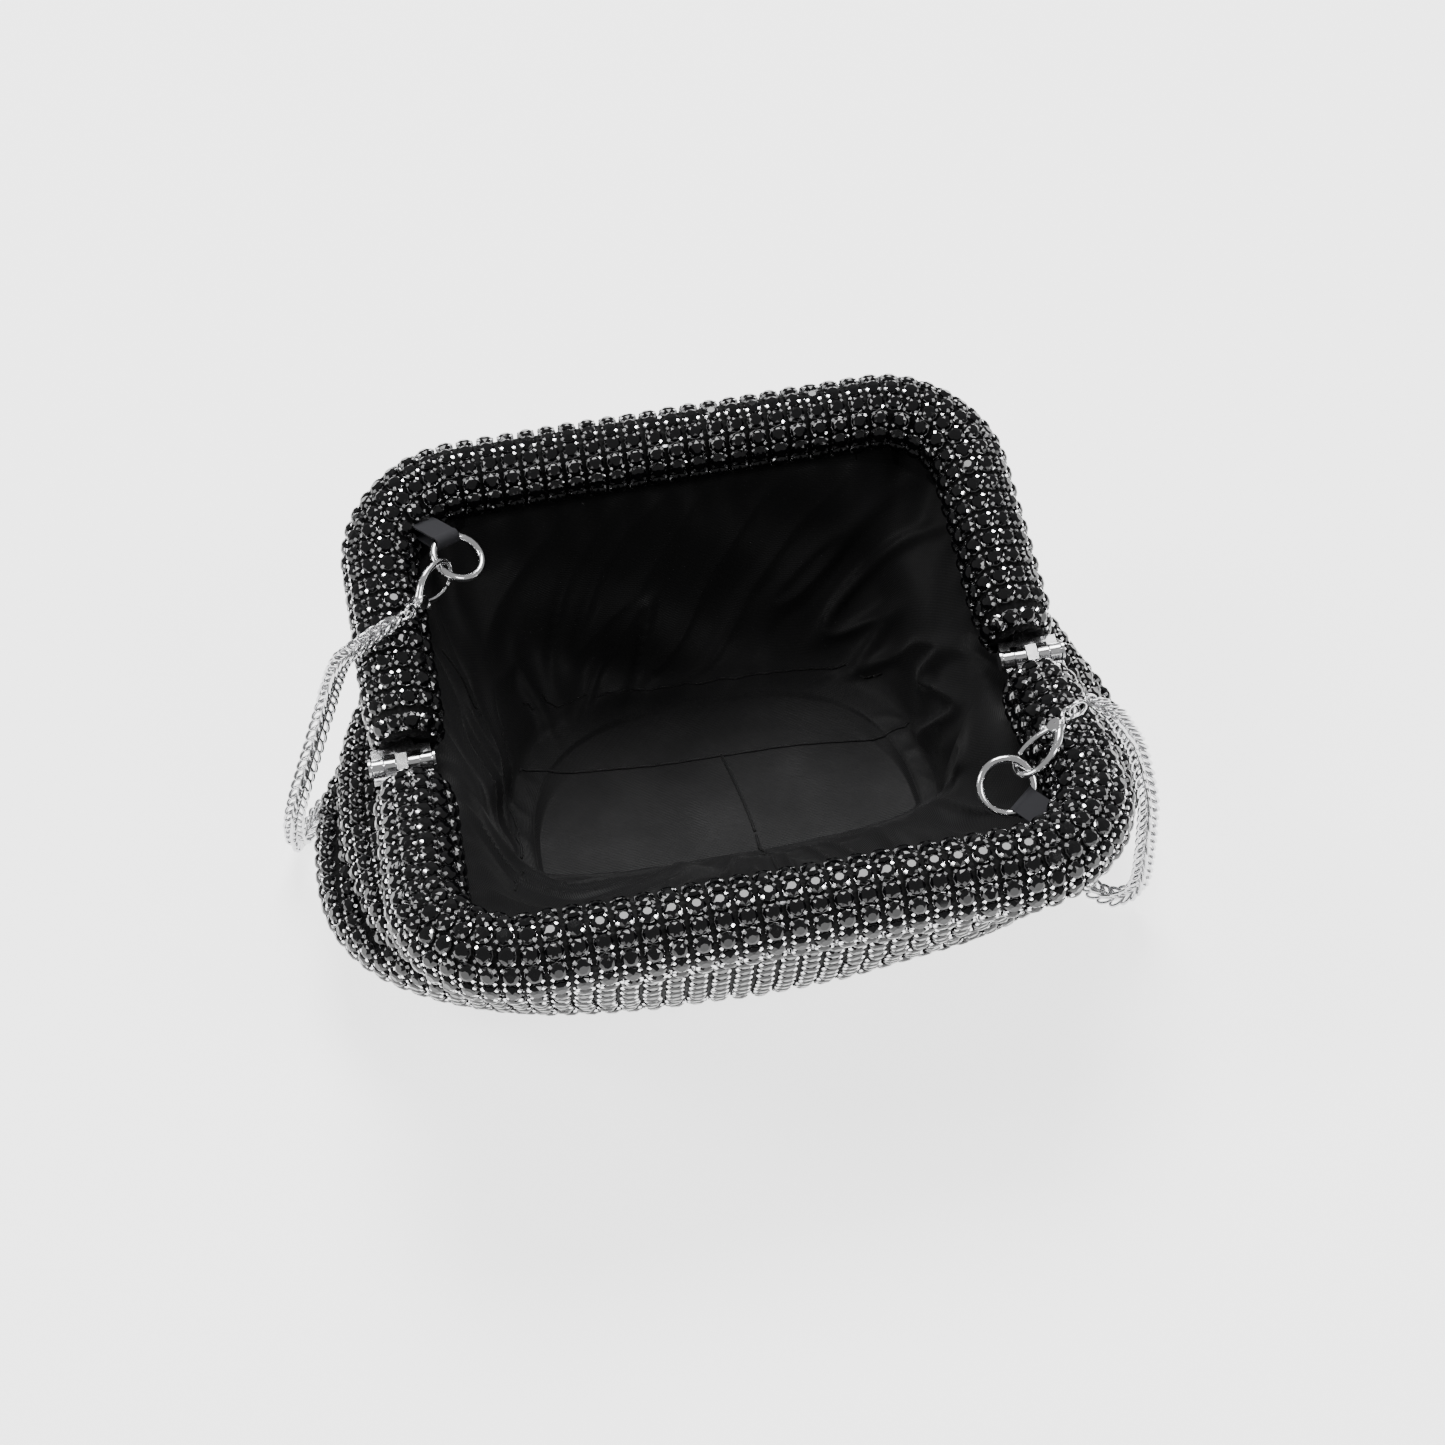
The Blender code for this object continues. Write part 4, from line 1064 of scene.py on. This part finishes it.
def build_tab(side):
    """Grosgrain ribbon looped through the ring and sewn to the frame cover."""
    place = piece_matrix("tab_" + side)
    reach = 9.5 * MM
    path = [(reach, -1.1 * MM), (reach * 0.6, -1.4 * MM)]
    for index in range(13):
        angle = math.radians(-60 - 240 * index / 12)
        path.append((1.75 * MM * math.cos(angle), 1.75 * MM * math.sin(angle)))
    path += [(reach * 0.6, 1.4 * MM), (reach, 1.1 * MM)]
    line = even_points(smooth_curve([Vector((x, y, 0)) for x, y in path], 8), 60)
    rows, maps = [], []
    for i, point in enumerate(line):
        after = line[min(i + 1, 60)] - line[max(i - 1, 0)]
        out = Vector((after.y, -after.x, 0)).normalized()
        row, uv = [], []
        section = [(-3.5, -0.22), (-3.5, 0.22), (3.5, 0.22), (3.5, -0.22), (-3.5, -0.22)]
        for k in range(len(section) - 1):
            for part in range(4):
                w = section[k][0] + (section[k + 1][0] - section[k][0]) * part / 4
                t = section[k][1] + (section[k + 1][1] - section[k][1]) * part / 4
                row.append(place @ (point + out * t * MM + Vector((0, 0, w * MM))))
                uv.append((w * MM, i * 0.5 * MM))
        row.append(row[0].copy())
        uv.append(uv[0])
        rows.append(row)
        maps.append(uv)
    mesh = grid_mesh("ribbon_" + side, rows, uv=maps)
    piece = new_object("ribbon_" + side, mesh)
    mesh.set_sharp_from_angle(angle=math.radians(40))
    mesh.materials.append(finish("ribbon"))
    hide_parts("ribbon_tab_" + side)
    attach(piece, ("back" if side == "left" else "front") + "_frame")


# ---------------------------------------------------------------- settings and operators

class BAG_PG_stones(bpy.types.PropertyGroup):
    tilt: bpy.props.FloatProperty(name="Tilt", description="Largest random tilt of a stone",
                                  default=math.radians(5), min=0.0, subtype="ANGLE")


class BAG_PG_lining(bpy.types.PropertyGroup):
    fold_depth: bpy.props.FloatProperty(name="Fold Depth", description="Height of the folds in the satin",
                                        default=2.8 * MM, min=0.0, unit="LENGTH")


class BAG_PG_stage(bpy.types.PropertyGroup):
    table_color: bpy.props.FloatVectorProperty(name="Table Color", description="Colour of the table",
                                               default=(0.93, 0.93, 0.93), subtype="COLOR", size=3)
    table_glow: bpy.props.FloatProperty(name="Table Glow", default=2.3, min=0.0,
                                        description="Light the table gives off, which softens the shadows")
    key_power: bpy.props.FloatProperty(name="Key Light", description="Power of the main softbox",
                                       default=46.0, min=0.0, unit="POWER")
    fill: bpy.props.FloatProperty(name="Fill", description="Brightness of the surroundings",
                                  default=0.34, min=0.0)


CAMERA_TARGET = (-0.33, -4.63, 0.0)
CAMERA_DISTANCE = 629.85 * MM
CAMERA_TURN = (math.radians(-7.22), math.radians(45.79), math.radians(-4.65))
CAMERA_LENS = 62.26
TABLE_REACH = 20.0
TABLE_TOP = -0.4 * MM
# Softboxes: place, width and share of the key light's power.
SOFTBOXES = {"key_softbox": ((0.2, 0.95, 1.9), 1.0, 1.0),
             "left_softbox": ((-1.5, 0.1, 1.5), 0.6, 0.34),
             "front_softbox": ((1.2, -1.2, 1.5), 0.5, 0.26)}
SOFTBOX_AIM = (0.0, 0.0, 0.05)


class BAG_OT_stage(bpy.types.Operator):
    """Camera, table, softboxes and pale surroundings"""
    bl_idname = "bag.stage"
    bl_label = "Stage"

    def execute(self, context):
        scene = context.scene
        azimuth, elevation, roll = CAMERA_TURN
        back = Vector((math.sin(azimuth) * math.cos(elevation), -math.cos(azimuth) * math.cos(elevation),
                       math.sin(elevation)))
        right = Vector((math.cos(azimuth), math.sin(azimuth), 0))
        up = back.cross(right)
        right, up = (right * math.cos(roll) + up * math.sin(roll),
                     up * math.cos(roll) - right * math.sin(roll))
        data = bpy.data.cameras.new("camera")
        data.lens = CAMERA_LENS
        data.sensor_width = 36.0
        data.clip_start = 0.01
        camera = bpy.data.objects.new("camera", data)
        scene.collection.objects.link(camera)
        place = Vector(CAMERA_TARGET) * MM + HINGE + back * CAMERA_DISTANCE
        camera.matrix_world = Matrix.Translation(place) @ Matrix((right, up, back)).transposed().to_4x4()
        scene.camera = camera

        marks = (-1, -0.5, 0, 0.5, 1)
        rows = [[Vector((x * TABLE_REACH, y * TABLE_REACH, TABLE_TOP)) for x in marks] for y in marks]
        table = new_object("table", grid_mesh("table", rows, flip=True), smooth=False)
        material = bpy.data.materials.new("table_top")
        material.use_nodes = True
        tree = material.node_tree
        shader = tree.nodes["Principled BSDF"]
        grain = add_node(tree, "ShaderNodeTexNoise", {"Scale": 400.0, "Detail": 3.0})
        bump = add_node(tree, "ShaderNodeBump", {
            "Height": grain.outputs["Fac"], "Strength": 0.03, "Distance": 0.0002})
        tree.links.new(bump.outputs["Normal"], shader.inputs["Normal"])
        shader.inputs["Base Color"].default_value = (*scene.bag_stage.table_color, 1.0)
        shader.inputs["Roughness"].default_value = 0.9
        shader.inputs["Specular IOR Level"].default_value = 0.1
        shader.inputs["Emission Color"].default_value = (1.0, 1.0, 1.0, 1.0)
        shader.inputs["Emission Strength"].default_value = scene.bag_stage.table_glow
        table.data.materials.append(material)

        for name, (spot, width, share) in SOFTBOXES.items():
            lamp = bpy.data.lights.new(name, "AREA")
            lamp.shape = "SQUARE"
            lamp.size = width
            lamp.energy = scene.bag_stage.key_power * share
            made = bpy.data.objects.new(name, lamp)
            scene.collection.objects.link(made)
            aim = Vector(SOFTBOX_AIM) - Vector(spot)
            made.matrix_world = Matrix.Translation(spot) @ aim.to_track_quat("-Z", "Y").to_matrix().to_4x4()
        world = bpy.data.worlds.new("surroundings")
        world.use_nodes = True
        shade = world.node_tree.nodes["Background"]
        shade.inputs["Color"].default_value = (1.0, 1.0, 1.0, 1.0)
        shade.inputs["Strength"].default_value = scene.bag_stage.fill
        scene.world = world
        return {"FINISHED"}


class BAG_OT_covers(bpy.types.Operator):
    """Stone-set covers of both frame halves"""
    bl_idname = "bag.covers"
    bl_label = "Frame Covers"

    def execute(self, context):
        for label in ("front", "back"):
            build_cover(label)
        return {"FINISHED"}


class BAG_OT_pouch(bpy.types.Operator):
    """Outer pouch in stone mesh, with its edge line"""
    bl_idname = "bag.pouch"
    bl_label = "Pouch"

    def execute(self, context):
        for label in ("front", "back"):
            build_pouch_half(label)
            build_edge_line(label)
        return {"FINISHED"}


class BAG_OT_lining(bpy.types.Operator):
    """Satin lining with folds and seams"""
    bl_idname = "bag.lining"
    bl_label = "Lining"

    def execute(self, context):
        for label in ("front", "back"):
            lining = build_lining_half(label)
            seams = build_seams(label, lining)
            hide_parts(*LINING_NODES[label])
            for piece in (lining, seams):
                blend_half(piece, label)
        return {"FINISHED"}


class BAG_OT_chain(bpy.types.Operator):
    """Both stretches of chain with the clasps and links on them"""
    bl_idname = "bag.chain"
    bl_label = "Chain and Clasps"

    def execute(self, context):
        left_riders = build_fittings("left")
        right_riders = build_fittings("right")
        left = [Vector(p) * MM for p in LEFT_DROP]
        right = [Vector(p) * MM for p in reversed((LEFT_DROP[-1],) + FLOOR_RUN + RIGHT_DROP)]
        build_chain("chain_left", left, "back_frame", ("chain_left_drop",))
        build_chain("chain_right", right, "front_frame", ("chain_right_drop", "chain_floor_run"))
        return {"FINISHED"}


class BAG_OT_tabs(bpy.types.Operator):
    """Ribbon tabs that hold the rings"""
    bl_idname = "bag.tabs"
    bl_label = "Ribbon Tabs"

    def execute(self, context):
        for side in ("left", "right"):
            build_tab(side)
        return {"FINISHED"}


class BAG_OT_hardware(bpy.types.Operator):
    """Finishes of the hinges, rods and magnets"""
    bl_idname = "bag.hardware"
    bl_label = "Hinges and Rods"

    def execute(self, context):
        for part, material in HARDWARE_FINISHES.items():
            for name, piece in bpy.data.objects.items():
                if part in name and piece.type == "MESH":
                    piece.data.materials.clear()
                    piece.data.materials.append(finish(material))
        return {"FINISHED"}


class BAG_PT_panel(bpy.types.Panel):
    """Steps that build the bag"""
    bl_label = "Evening Bag"
    bl_idname = "BAG_PT_panel"
    bl_space_type = "VIEW_3D"
    bl_region_type = "UI"
    bl_category = "Evening Bag"

    def draw(self, context):
        layout = self.layout
        for group in (context.scene.bag_stones, context.scene.bag_lining, context.scene.bag_stage):
            for name in group.__annotations__:
                layout.prop(group, name)
        for operator in OPERATORS:
            layout.operator(operator.bl_idname)


HARDWARE_FINISHES = {"leaf": "hinge_nickel", "hinge_pin": "hinge_nickel", "rod": "drawn_steel",
                     "magnet": "magnet_plate"}
GROUPS = {"bag_stones": BAG_PG_stones, "bag_lining": BAG_PG_lining, "bag_stage": BAG_PG_stage}
OPERATORS = (BAG_OT_stage, BAG_OT_chain, BAG_OT_covers, BAG_OT_pouch, BAG_OT_lining, BAG_OT_tabs,
             BAG_OT_hardware)


def register():
    for item in (*GROUPS.values(), *OPERATORS, BAG_PT_panel):
        bpy.utils.register_class(item)
    for name, group in GROUPS.items():
        setattr(bpy.types.Scene, name, bpy.props.PointerProperty(type=group))


def unregister():
    for name in GROUPS:
        delattr(bpy.types.Scene, name)
    for item in (BAG_PT_panel, *reversed(OPERATORS), *GROUPS.values()):
        bpy.utils.unregister_class(item)


def main():
    register()
    bpy.ops.bag.stage()
    bpy.ops.bag.chain()
    bpy.ops.bag.covers()
    bpy.ops.bag.pouch()
    bpy.ops.bag.lining()
    bpy.ops.bag.tabs()
    bpy.ops.bag.hardware()


if __name__ == "__main__":
    main()
